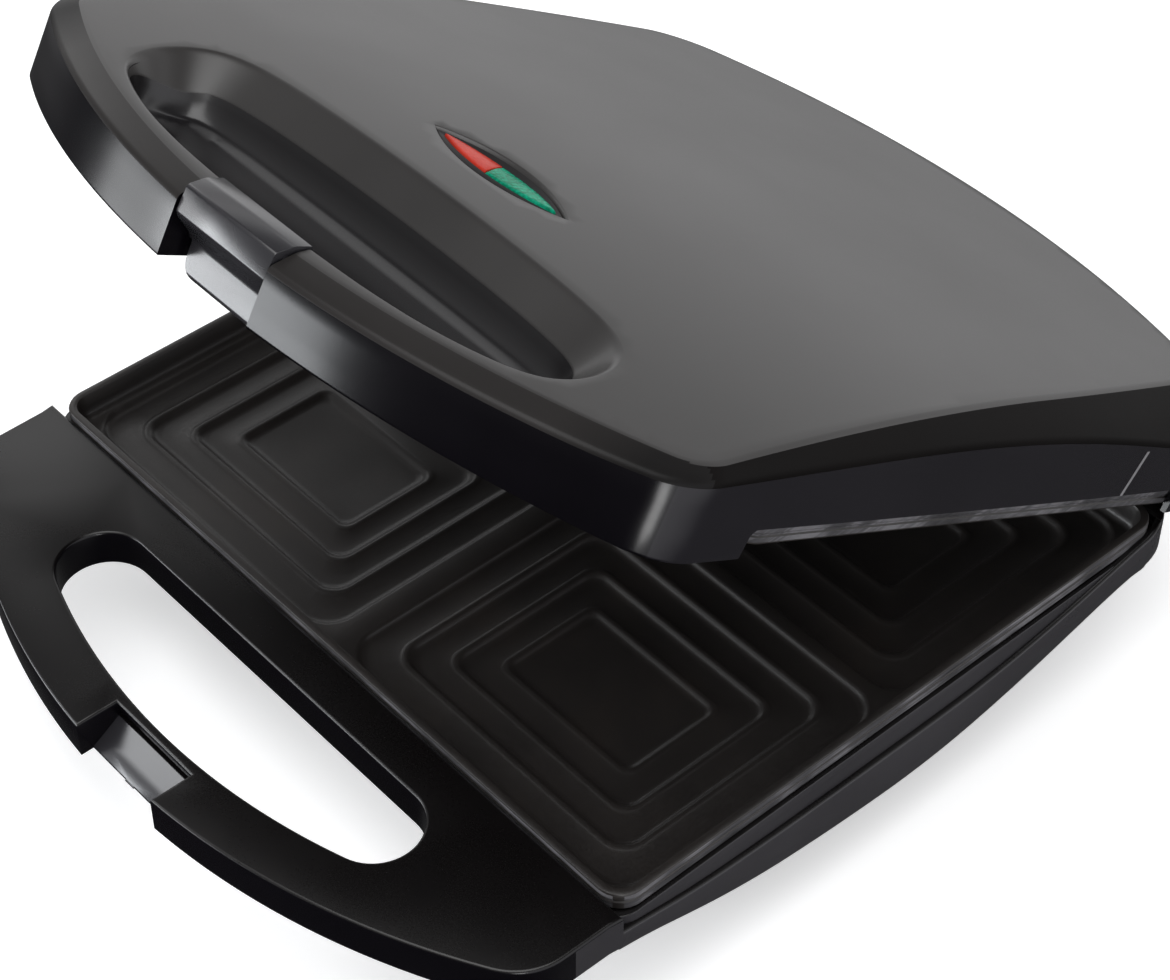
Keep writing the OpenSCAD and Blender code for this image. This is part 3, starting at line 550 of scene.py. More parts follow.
def lid_shell():
    ob = lid_outer()[0].mesh("lid_shell_skin", to_lid)
    cav = lid_cavity().mesh("cav", to_lid)
    tub = recess_tub().mesh("tub", to_lid)
    cav = boolean(cav, tub)
    # keep the bar's end blocks solid beside the latch
    for s in (-1, 1):
        cav = boolean(cav, block(s * 21.5 - 3.1, s * 21.5 + 3.1, -90, -55, 40, 110).mesh("t", to_lid))
    ob = boolean(ob, cav)
    ob = boolean(ob, block(-18.6, 18.6, -90, -58.6, 40, 110).mesh("t", to_lid))
    ob = boolean(ob, block(-18.6, 18.6, -90, -55.8, 66.5, 110).mesh("t", to_lid))
    # below the side walls the plate's skirt shows
    side = prism([np.array([(-2.6, 45.0), (208.0, 45.0), (208.0, 62.8), (0.6, 62.8), (-1.2, 61.4)])], 129.4, 150, 0, 0, ax=yz)
    ob = boolean(ob, side.mesh("t", to_lid))
    side = prism([np.array([(-2.6, 45.0), (208.0, 45.0), (208.0, 62.8), (0.6, 62.8), (-1.2, 61.4)])], -150, -129.4, 0, 0, ax=yz)
    ob = boolean(ob, side.mesh("t", to_lid))
    ob = boolean(ob, prism([rounded_rect(-130.5, 130.5, -0.5, 219.5, 8)], 45, 68, 0, 0).mesh("t", to_lid))
    for s in (-1, 1):
        xo = lambda y: 133.0 - (y - 98.0) ** 2 / 18000.0
        a, c = (s * (xo(175) + 0.26), s * 131.6)
        rib = prism([np.array([(173.2, 62.9), (174.6, 62.9), (177.6, 77.6), (176.2, 77.6)])], min(a, c), max(a, c), 0.12, 0.0, 2, ax=yz)
        ob = boolean(ob, rib.mesh("t", to_lid), "UNION")
    tidy(ob, 34)
    return ob


# ---------------------------------------------------------------- base shell
def slot_loop(x0, yn, yf, rn):
    """Half-width, near and far y, radius of the near rim. The end is one arc that meets both rims and the side smoothly."""
    f = yn + rn
    A = f - yf
    B = A + rn - x0
    re = math.sqrt(B * B - A * A - x0 * x0 + rn * rn) - B
    ex, ey = x0 - re, yf - re
    a0 = math.degrees(math.atan2(ey - f, ex))
    half = np.vstack([arc(0, f, rn, -90, a0, 24), arc(ex, ey, re, a0, 90, 26)[1:], np.c_[np.linspace(ex, 0, 8)[1:], np.full(7, yf)]])
    return mirror_half(half)


def bow_loop():
    """Outline of the deck in front of the plates, with the latch recess let into it, anticlockwise."""
    c = casing()
    n = len(c)
    right = [p for p in c[: n // 2] if p[1] < -1.2]
    right = [p for p in right if p[0] >= 0]
    right = np.array(right)
    keep = right[(right[:, 0] > 20.5) & (right[:, 1] < -3.0)]
    y0 = float(np.interp(17.6, right[:, 0], right[:, 1]))
    half = [(0, -56.8), (6, -56.8), (12, -56.8), (17.6, -56.8), (17.6, -62), (17.6, y0)]
    half = np.vstack([half, keep, [(HW, -0.6), (90, -0.6), (45, -0.6), (0, -0.6)]])
    return mirror_half(half)


def base_shell():
    slot = slot_loop(78, -53.8, -15.4, 214)
    # the solid bow: deck, front wall and slot walls
    ob = prism([bow_loop(), slot], 41.2, 54.0, 1.0, 0.5, 5).mesh("base_shell_skin", to_base)
    # hollow it from below, leaving walls round the edge, the slot and the latch recess
    c = offset(casing(), 2.6)
    n = len(c)
    right = np.array([p for p in c[: n // 2] if p[1] < -3.5 and p[0] >= 0])
    half = np.vstack([right, [(right[-1][0], -3.2), (60, -3.2), (0, -3.2)]])
    hollow = prism([mirror_half(half), slot_loop(80.4, -56.2, -13.0, 216.4)], 35, 51.2, 0, 0).mesh("h", to_base)
    hollow = boolean(hollow, block(-20.2, 20.2, -90, -48, 30, 60).mesh("t", to_base))
    ob = boolean(ob, hollow)
    # sloping floor of the latch recess, with a small nib at its edge
    ramp = prism([np.array([(-66.2, 41.2), (-63.2, 41.2), (-53.8, 46.6), (-53.8, 52.8), (-55.0, 52.8), (-55.0, 49.4), (-66.2, 42.1)])], -18.6, 18.6, 0, 0, ax=yz)
    ob = boolean(ob, ramp.mesh("t", to_base), "UNION")
    ob = boolean(ob, block(-17.4, 17.4, -57.6, -54.95, 48.6, 51.7).mesh("t", to_base))
    nib = prism([np.array([(-66.6, 41.3), (-65.6, 41.3), (-64.9, 42.7), (-66.2, 42.1)])], -2.2, 2.2, 0.3, 0.3, ax=yz)
    ob = boolean(ob, nib.mesh("t", to_base), "UNION")
    # side rails, back wall and the well wall below the plate, as one ring
    b = Build()
    C = casing()
    y = C[:, 1]
    rail = np.interp(y, [-30, -1.2, 6, 13, 20, 28, 46, 80, 110, 126, 147, 164, 175, 190, 203, 209, 216, 240],
                     [48.6, 48.0, 46, 44.6, 43.5, 42.8, 41.7, 41.0, 40.9, 40.6, 41.4, 43.5, 45.2, 47.6, 50.8, 52.4, 53.2, 53.2])
    low = np.interp(y, [-30, -1.5, 13, 28, 45, 67, 94, 116, 132, 150, 171, 192, 211, 222, 240],
                    [41.3, 41.1, 37, 32.7, 28.4, 25.8, 23.8, 23.2, 24.6, 27.4, 31.8, 37.2, 41.0, 41.0, 41.0])
    sm = lambda a: np.convolve(np.r_[a[-4:], a, a[:4]], np.ones(9) / 9, "valid")
    rail, low = sm(rail), sm(low)
    back = (np.abs(C[:, 0]) < 117) & (y > 225)
    low = np.where(back, 20.0, low)
    back_in = smooth01((y - 222) / 8)
    ctr = C
    rows = [(0.0, low, 0.7, 0), (0.0, rail, 1.1, 0), (2.6, rail, 0.5, 0), (2.6, low, 0.4, 0)]
    P = []
    for d, z, r, _ in rows:
        P.append(np.c_[offset(ctr, d), z])
    ring = []
    m = len(P)
    for i in range(m):
        ring += corner(P[i - 1], P[i], P[(i + 1) % m], rows[i][2], 4)
    idx = [b.add(r) for r in ring]
    for i in range(len(idx)):
        b.strip(idx[i], idx[(i + 1) % len(idx)])
    wall = b.mesh("t", to_base)
    wall = boolean(wall, block(-150, 150, -90, -1.3, 0, 90).mesh("t", to_base))
    ob = boolean(ob, wall, "UNION")
    well = prism([rounded_rect(-131.2, 131.2, -2.8, 221.4, 9), rounded_rect(-128.3, 128.3, -0.7, 219.5, 8.4)[::-1]], 38, 49.7, 0.3, 0)
    ob = boolean(ob, well.mesh("t", to_base), "UNION")
    # narrow deck behind the plates
    c = casing()
    n = len(c)
    half = np.array([p for p in c[: n // 2 + 1] if p[1] > 219.6 and p[0] >= 0])
    half = np.vstack([half, [(0, 232.5), (0, 219.6)]])
    rear = np.vstack([[(0, 219.6)], [(float(half[0][0]), 219.6)], half[:-2], [(0, 232.5)]])
    strip = mirror_half(rear)
    ob = boolean(ob, prism([strip], 51.2, 53.4, 0.5, 0).mesh("t", to_base), "UNION")
    # hinge cheeks
    for s in (-1, 1):
        for x in (95 - 13.5, 95 + 13.5):
            ch = prism([np.array([(216.2, 32.8), (231, 32.8), (231, 52.9), (221, 52.9), (221, 44.5), (216.2, 44.5)])], s * x - 3.2, s * x + 3.2, 0, 0, ax=yz)
            ob = boolean(ob, ch.mesh("t", to_base), "UNION")
    for s in (-1, 1):
        ob = boolean(ob, block(s * 95 - 10.2, s * 95 + 10.2, 213, 240, 32.6, 60).mesh("t", to_base))
        hole = prism([arc(HY, HZ, 2.5, 0, 354, 59)], s * 95 - 18, s * 95 + 18, 0, 0, ax=yz)
        ob = boolean(ob, hole.mesh("t", to_base))
    # quarter round that the lid turns past
    cut = np.vstack([[(HY, HZ + 13.7)], arc(HY, HZ, 13.7, 90, 0, 24)[1:], [(HY + 25, HZ), (HY + 25, HZ + 25), (HY, HZ + 25)]])[::-1]
    ob = boolean(ob, prism([cut], -150, 150, 0, 0, ax=yz).mesh("t", to_base))
    hole = prism([arc(45, 27, 5.0, 0, 354, 59)], 222, 240, 0, 0, ax=lambda v: np.c_[v[:, 0], v[:, 2], v[:, 1]])
    hole.f = [tuple(reversed(q)) for q in hole.f]
    ob = boolean(ob, hole.mesh("t", to_base))
    tidy(ob, 34)
    return ob


# ---------------------------------------------------------------- plates
POCKETS = [(4, 124, 6, 107.5), (-124, -4, 6, 107.5), (4, 124, 111.5, 213), (-124, -4, 111.5, 213)]
RIMZ = 56.0


def plate(name, place, flip):
    """Rim, channel, four pockets that step down in nested rounded squares, and the skirt."""
    b = Build()
    K, M = 8, 6

    def ring(dx, z, r, box=None, extra=0.0):
        x0, x1, y0, y1 = box or (-130, 130, 0, 219)
        p = rounded_rect(x0 + dx, x1 - dx, y0 + dx, y1 - dx, max(r, 0.4), K, M)
        return np.c_[p, np.full(len(p), z)]

    outer = [ring(2.2, 45.0, 5.8), ring(2.2, 49.4, 5.8), ring(2.0, 50.0, 6.0), ring(0.3, 50.0, 7.7), ring(0.0, 50.35, 8.0), ring(0.0, 52.6, 8.0),
             ring(0.35, 53.0, 7.7), ring(0.35, 53.5, 7.7), ring(0.0, 53.9, 8.0), ring(0.0, 55.3, 8.0), ring(0.25, 55.82, 7.8), ring(0.8, 56.0, 7.3), ring(1.9, 56.0, 6.2),
             ring(2.45, 55.8, 5.7), ring(2.75, 55.2, 5.4), ring(3.3, 51.0, 4.9), ring(3.6, 49.3, 4.6), ring(4.4, 48.2, 4.0), ring(5.6, 47.8, 3.2)]
    idx = [b.add(r) for r in outer]
    for a, c in zip(idx, idx[1:]):
        b.strip(a, c)
    tops = []
    for q in POCKETS:
        prof = [(-0.4, 47.8, 10.5), (0.2, 47.66, 10), (0.7, 47.2, 9.8), (1.1, 46.7, 9.6), (1.8, 46.3, 9.2), (3.0, 46.2, 8.6), (9.2, 46.2, 8.4), (9.9, 46.45, 8.2), (10.8, 46.75, 7.8),
                (11.7, 46.4, 7.4), (12.3, 45.6, 7.2), (13.2, 44.95, 7.0), (14.6, 44.8, 6.6), (20.2, 44.8, 6.2), (20.9, 45.05, 6.0), (21.8, 45.35, 5.8), (22.7, 45.0, 5.4), (23.3, 44.3, 5.2),
                (24.2, 43.75, 5.0), (25.6, 43.6, 4.8), (31.2, 43.6, 4.4), (31.9, 43.85, 4.2), (32.8, 44.1, 4.0), (33.7, 43.8, 3.6), (34.3, 43.2, 3.4), (35.2, 42.75, 3.2), (36.6, 42.6, 3.0)]
        rs = [b.add(ring(d, z, r, q)) for d, z, r in prof]
        for a, c in zip(rs, rs[1:]):
            b.strip(a, c)
        b.fill([rs[-1]], up=True)
        tops.append(rs[0])
    b.fill([idx[-1]] + tops, up=True)
    # underside follows the steps
    unders = []
    for q in POCKETS:
        prof = [(-2.0, 45.0, 12), (-2.0, 43.8, 12), (9.0, 43.8, 10), (9.0, 42.4, 10), (20.0, 42.4, 8), (20.0, 41.2, 8), (31.0, 41.2, 6), (31.0, 40.2, 6)]
        rs = [b.add(ring(d, z, r, q)) for d, z, r in prof]
        for a, c in zip(rs, rs[1:]):
            b.strip(c, a)
        b.fill([rs[-1]], up=False)
        unders.append(rs[0])
    b.fill([idx[0]] + unders, up=False)
    if flip:
        b.v = [v * [1, 1, -1] + [0, 0, 2 * RIMZ + 0.4] for v in b.v]
        b.f = [tuple(reversed(f)) for f in b.f]
    ob = b.mesh(name, place)
    return tidy(ob, 40)


# ---------------------------------------------------------------- latch, lenses, bezel
def latch():
    top = np.array([(-57.2, 77.2), (-63.8, 77.1), (-69.3, 75.0), (-69.9, 67.6), (-68.9, 66.0), (-63.4, 61.8), (-62.4, 60.2),
                    (-62.2, 51.4), (-61.2, 50.3), (-56.3, 50.3), (-56.3, 51.2), (-59.6, 52.4), (-59.6, 60.8), (-61.9, 64.4), (-66.4, 70.8), (-64.4, 74.4), (-57.2, 74.8)])
    loop = []
    rr = [0.9, 0.9, 0.9, 0.5, 0.7, 0.8, 0.8, 0.5, 0.5, 0.3, 0.3, 1.0, 1.2, 1.0, 1.2, 1.0, 0.7]
    n = len(top)
    for i in range(n):
        loop += [tuple(p) for p in corner(top[i - 1], top[i], top[(i + 1) % n], rr[i], 5)]
    loop = clean(np.array(loop), 0.12)
    ob = prism([loop], -18.1, 18.1, 0.2, 0.2, 2, ax=yz).mesh("latch_skin", to_lid)
    boss = prism([arc(-64.5, 72.4, 3.0, 0, 352, 44)], -17.9, 17.9, 0.3, 0.3, 3, ax=yz)
    ob = boolean(ob, boss.mesh("t", to_lid), "UNION")
    for s in (-1, 1):
        rib = prism([np.array([(-60.0, 75.6), (-64.0, 75.9), (-68.3, 74.2), (-68.8, 68.2), (-67.8, 66.6), (-62.6, 62.4), (-60.0, 60.6), (-60.0, 68)])], s * 16.1 - 1.1, s * 16.1 + 1.1, 0.2, 0.2, 3, ax=yz)
        ob = boolean(ob, rib.mesh("t", to_lid), "UNION")
    bore = prism([arc(-64.5, 72.4, 1.55, 0, 352, 44)], -30, 30, 0, 0, ax=yz)
    ob = boolean(ob, bore.mesh("t", to_lid))
    # the tongue is narrower than the head, with rounded lower corners
    for s in (-1, 1):
        a = (s * 16.6, s * 19.0)
        ob = boolean(ob, block(min(a), max(a), -72, -50, 48, 60.4).mesh("t", to_lid))
        t = np.radians(np.linspace(0, 90, 12))
        a = np.c_[16.7 - 5.4 + 5.4 * np.cos(t), 55.6 - 5.4 * np.sin(t)]
        cut = np.vstack([[(16.7 - 5.4, 49.5), (18.6, 49.5), (18.6, 55.6)], a]) * [s, 1]
        if s < 0:
            cut = cut[::-1]
        c = prism([cut], -70, -55, 0, 0, ax=lambda v: np.c_[v[:, 0], v[:, 2], v[:, 1]])
        c.f = [tuple(reversed(q)) for q in c.f]
        ob = boolean(ob, c.mesh("t", to_lid))
    return tidy(ob, 30)


def lens(name, side):
    """One half of the leaf-shaped lens, slightly domed, split on a slanted line."""
    lf = leaf(22.9, 5.3, 40)
    cut = lambda x, y: (x - (-4.1)) * side + (y - 23.0) * 0.33 * side - 0.14
    pts = [tuple(p) for p in lf if cut(p[0], p[1]) > 0]
    # order starts after the split
    i0 = next(i for i in range(len(lf)) if cut(*lf[i]) > 0 and cut(*lf[i - 1]) <= 0)
    m = len(lf)
    pts = []
    i = i0
    while cut(*lf[i % m]) > 0:
        pts.append(tuple(lf[i % m]))
        i += 1
    pts = np.array(pts)

    def cross(a, b):
        ca, cb = cut(*a), cut(*b)
        t = ca / (ca - cb)
        return a + (b - a) * t
    first = cross(lf[i0 % m], lf[(i0 - 1) % m])
    last = cross(lf[(i - 1) % m], lf[i % m])
    loop = np.vstack([[first], pts, [last]])
    loop = resample(loop, 60, True)
    b = Build()
    zt = lambda p: 90.2 + 0.5 * np.clip(1 - ((p[:, 1] - 23) / 5.6) ** 2, 0, 1)
    rows = [np.c_[loop, np.full(len(loop), 86.2)], np.c_[loop, zt(loop) - 0.35], np.c_[offset(loop, 0.12), zt(loop) - 0.1], np.c_[offset(loop, 0.35), zt(offset(loop, 0.35))]]
    idx = [b.add(r) for r in rows]
    for r0, r1 in zip(idx, idx[1:]):
        b.strip(r0, r1)
    b.fill([idx[0]], up=False)
    gx, gy = np.meshgrid(np.arange(-24, 22, 1.0), np.arange(18, 28.5, 0.7))
    inner = np.c_[gx.ravel(), gy.ravel()]
    lp = b.pts(idx[-1])[:, :2]
    inner = inner[np.array([inside(lp, p) for p in inner])]
    inner = inner[~near_poly(lp, inner, 0.4)]
    b.fill([idx[-1]], inner, lambda x, y: zt(np.c_[x, y]), up=True)
    return tidy(b.mesh(name, to_lid), 40)


def bezel():
    """The seat of the lenses: a dished leaf with a flange under the lid's skin."""
    b = Build()
    o, i = leaf(26.3, 7.4, 40), leaf(23.2, 5.5, 40)
    fl = leaf(30.5, 10.6, 40)
    tz = lambda p: top_z(p[:, 0], p[:, 1])
    rows = [np.c_[i, np.full(len(i), 85.4)], np.c_[fl, np.full(len(fl), 85.4)], np.c_[fl, np.full(len(fl), 87.0)], np.c_[o, np.full(len(o), 87.2)],
            np.c_[o, tz(o) - 1.0], np.c_[offset(o, 0.25), tz(o) - 0.75], np.c_[i, np.full(len(i), 89.9)], np.c_[offset(i, -0.02), np.full(len(i), 89.4)]]
    idx = [b.add(r) for r in rows]
    for r0, r1 in zip(idx, idx[1:]):
        b.strip(r0, r1)
    b.strip(idx[-1], idx[0])
    return tidy(b.mesh("bezel_skin", to_lid), 40)


# ---------------------------------------------------------------- materials
def nodes_of(name):
    m = D.materials.new(name)
    m.use_nodes = True
    nt = m.node_tree
    return m, nt, nt.nodes["Principled BSDF"]


def link(nt, a, b):
    nt.links.new(a, b)


def node(nt, kind, **kw):
    n = nt.nodes.new(kind)
    for k, v in kw.items():
        setattr(n, k, v)
    return n


def noise(nt, co, scale, detail=4.0, rough=0.55, dist=0.0):
    n = node(nt, "ShaderNodeTexNoise")
    n.inputs["Scale"].default_value = scale
    n.inputs["Detail"].default_value = detail
    n.inputs["Roughness"].default_value = rough
    n.inputs["Distortion"].default_value = dist
    link(nt, co, n.inputs["Vector"])
    return n.outputs["Fac"]


def ramp(nt, fac, stops):
    r = node(nt, "ShaderNodeValToRGB")
    el = r.color_ramp.elements
    el[0].position, el[0].color = stops[0][0], (*stops[0][1], 1)
    el[1].position, el[1].color = stops[-1][0], (*stops[-1][1], 1)
    for p, c in stops[1:-1]:
        e = el.new(p)
        e.color = (*c, 1)
    link(nt, fac, r.inputs["Fac"])
    return r.outputs["Color"]


def span(nt, fac, lo, hi, a=0.0, b=1.0):
    r = node(nt, "ShaderNodeMapRange")
    r.inputs["From Min"].default_value, r.inputs["From Max"].default_value = a, b
    r.inputs["To Min"].default_value, r.inputs["To Max"].default_value = lo, hi
    link(nt, fac, r.inputs["Value"])
    return r.outputs["Result"]


def bump(nt, bsdf, heights):
    """heights: (socket, strength, distance in metres), stacked."""
    prev = None
    for h, s, d in heights:
        b = node(nt, "ShaderNodeBump")
        b.inputs["Strength"].default_value = s
        b.inputs["Distance"].default_value = d
        link(nt, h, b.inputs["Height"])
        if prev is not None:
            link(nt, prev, b.inputs["Normal"])
        prev = b.outputs["Normal"]
    link(nt, prev, bsdf.inputs["Normal"])


def coords(nt):
    return node(nt, "ShaderNodeTexCoord").outputs["Object"]


def plastic(name, dark, light, rough=(0.3, 0.42), grain=900.0, grain_h=0.00003, grain_s=0.25, wave_h=0.0, spec=0.5):
    """Moulded plastic: a slow drift of tone, a fine erosion grain in the tool and slightly uneven gloss."""
    m, nt, p = nodes_of(name)
    co = coords(nt)
    slow, fine = noise(nt, co, 14.0, 3.0), noise(nt, co, grain, 2.0, 0.6)
    link(nt, ramp(nt, slow, [(0.3, dark), (0.7, light)]), p.inputs["Base Color"])
    mix = node(nt, "ShaderNodeMath", operation="MULTIPLY_ADD")
    link(nt, fine, mix.inputs[0])
    mix.inputs[1].default_value = 0.35
    link(nt, slow, mix.inputs[2])
    link(nt, span(nt, mix.outputs[0], rough[0], rough[1], 0.35, 1.0), p.inputs["Roughness"])
    p.inputs["Specular IOR Level"].default_value = spec
    hs = [(fine, grain_s, grain_h)]
    if wave_h:
        hs.append((noise(nt, co, 9.0, 1.0), 0.3, wave_h))
    bump(nt, p, hs)
    return m


def metal(name, dark, light, rough=(0.25, 0.45), grain=(60.0, 2400.0, 2400.0), h=0.00002, s=0.3, metallic=1.0):
    """Metal with a drawn grain along one axis and uneven polish."""
    m, nt, p = nodes_of(name)
    co = coords(nt)
    mp = node(nt, "ShaderNodeMapping")
    mp.inputs["Scale"].default_value = grain
    link(nt, co, mp.inputs["Vector"])
    g = noise(nt, mp.outputs["Vector"], 1.0, 3.0, 0.6)
    slow = noise(nt, co, 60.0, 3.0)
    link(nt, ramp(nt, slow, [(0.3, dark), (0.7, light)]), p.inputs["Base Color"])
    p.inputs["Metallic"].default_value = metallic
    link(nt, span(nt, g, rough[0], rough[1], 0.3, 0.7), p.inputs["Roughness"])
    bump(nt, p, [(g, s, h)])
    return m


def coated_plate():
    """Cast plate under a black non-stick coat: faint sparkle and soft sheen."""
    m, nt, p = nodes_of("nonstick_coat")
    co = coords(nt)
    sep = node(nt, "ShaderNodeSeparateXYZ")
    link(nt, co, sep.inputs[0])
    fine, slow = noise(nt, co, 1400.0, 2.0, 0.65), noise(nt, co, 22.0, 4.0, 0.6)
    base = ramp(nt, slow, [(0.3, (0.011, 0.0095, 0.009)), (0.55, (0.017, 0.0145, 0.0135)), (0.8, (0.026, 0.021, 0.018))])
    link(nt, base, p.inputs["Base Color"])
    link(nt, span(nt, fine, 0.30, 0.50, 0.3, 0.7), p.inputs["Roughness"])
    p.inputs["Specular IOR Level"].default_value = 0.45
    p.inputs["Coat Weight"].default_value = 0.1
    p.inputs["Coat Roughness"].default_value = 0.25
    bump(nt, p, [(fine, 0.3, 0.00004), (slow, 0.15, 0.0004)])
    return m


def skirt_metal():
    """The bright sides of the plates: a dark coat streaked lighter along its length."""
    m, nt, p = nodes_of("plate_skirt")
    co = coords(nt)
    mp = node(nt, "ShaderNodeMapping")
    mp.inputs["Scale"].default_value = (18.0, 18.0, 1500.0)
    link(nt, co, mp.inputs["Vector"])
    st = noise(nt, mp.outputs["Vector"], 1.0, 5.0, 0.7)
    slow = noise(nt, co, 40.0, 3.0)
    mul = node(nt, "ShaderNodeMath", operation="MULTIPLY_ADD")
    link(nt, st, mul.inputs[0])
    mul.inputs[1].default_value = 0.75
    link(nt, slow, mul.inputs[2])
    link(nt, ramp(nt, mul.outputs[0], [(0.62, (0.035, 0.034, 0.036)), (0.85, (0.10, 0.098, 0.105)), (1.05, (0.24, 0.235, 0.25))]), p.inputs["Base Color"])
    p.inputs["Metallic"].default_value = 0.55
    link(nt, span(nt, st, 0.28, 0.5, 0.3, 0.7), p.inputs["Roughness"])
    bump(nt, p, [(st, 0.35, 0.00005)])
    return m


def lens_mat(name, dark, light, grainy):
    m, nt, p = nodes_of(name)
    co = coords(nt)
    v = node(nt, "ShaderNodeTexVoronoi")
    v.inputs["Scale"].default_value = 900.0
    link(nt, co, v.inputs["Vector"])
    slow = noise(nt, co, 60.0, 2.0)
    mix = node(nt, "ShaderNodeMath", operation="MULTIPLY_ADD")
    link(nt, v.outputs["Distance"], mix.inputs[0])
    mix.inputs[1].default_value = 0.5 if grainy else 0.12
    link(nt, slow, mix.inputs[2])
    link(nt, ramp(nt, mix.outputs[0], [(0.35, light), (0.9, dark)]), p.inputs["Base Color"])
    link(nt, span(nt, slow, 0.12, 0.3), p.inputs["Roughness"])
    p.inputs["Subsurface Weight"].default_value = 0.12
    p.inputs["Subsurface Radius"].default_value = (0.002, 0.001, 0.001)
    p.inputs["Specular IOR Level"].default_value = 0.05
    bump(nt, p, [(v.outputs["Distance"], 0.5 if grainy else 0.15, 0.00012)])
    return m


def rubber(name, c0=(0.012, 0.012, 0.012), c1=(0.03, 0.03, 0.03)):
    return plastic(name, c0, c1, rough=(0.62, 0.85), grain=700.0, grain_h=0.00006, grain_s=0.5)


def ceramic(name):
    return plastic(name, (0.60, 0.58, 0.52), (0.78, 0.76, 0.70), rough=(0.35, 0.6), grain=500.0, grain_h=0.00003, grain_s=0.3)


def chamfer_satin():
    """The lid's edge: satin in front, running into the dark matte of the side bands round the corners."""
    m, nt, p = nodes_of("edge_satin")
    co = coords(nt)
    sep = node(nt, "ShaderNodeSeparateXYZ")
    link(nt, co, sep.inputs[0])
    ax = node(nt, "ShaderNodeMath", operation="ABSOLUTE")
    link(nt, sep.outputs["X"], ax.inputs[0])
    far = span(nt, ax.outputs[0], 0.0, 1.0, 0.098, 0.120)
    slow, fine = noise(nt, co, 14.0, 3.0), noise(nt, co, 1400.0, 2.0, 0.6)
    base = ramp(nt, slow, [(0.3, (0.017, 0.0155, 0.0150)), (0.7, (0.024, 0.0222, 0.0215))])
    mx = node(nt, "ShaderNodeMix", data_type="RGBA")
    link(nt, far, mx.inputs[0])
    link(nt, base, mx.inputs[6])
    mx.inputs[7].default_value = (0.0030, 0.0024, 0.0024, 1.0)
    link(nt, mx.outputs[2], p.inputs["Base Color"])
    rough = node(nt, "ShaderNodeMath", operation="MULTIPLY_ADD")
    link(nt, far, rough.inputs[0])
    rough.inputs[1].default_value = 0.12
    link(nt, span(nt, fine, 0.30, 0.38), rough.inputs[2])
    link(nt, rough.outputs[0], p.inputs["Roughness"])
    p.inputs["Specular IOR Level"].default_value = 0.16
    bump(nt, p, [(fine, 0.15, 0.00001)])
    return m


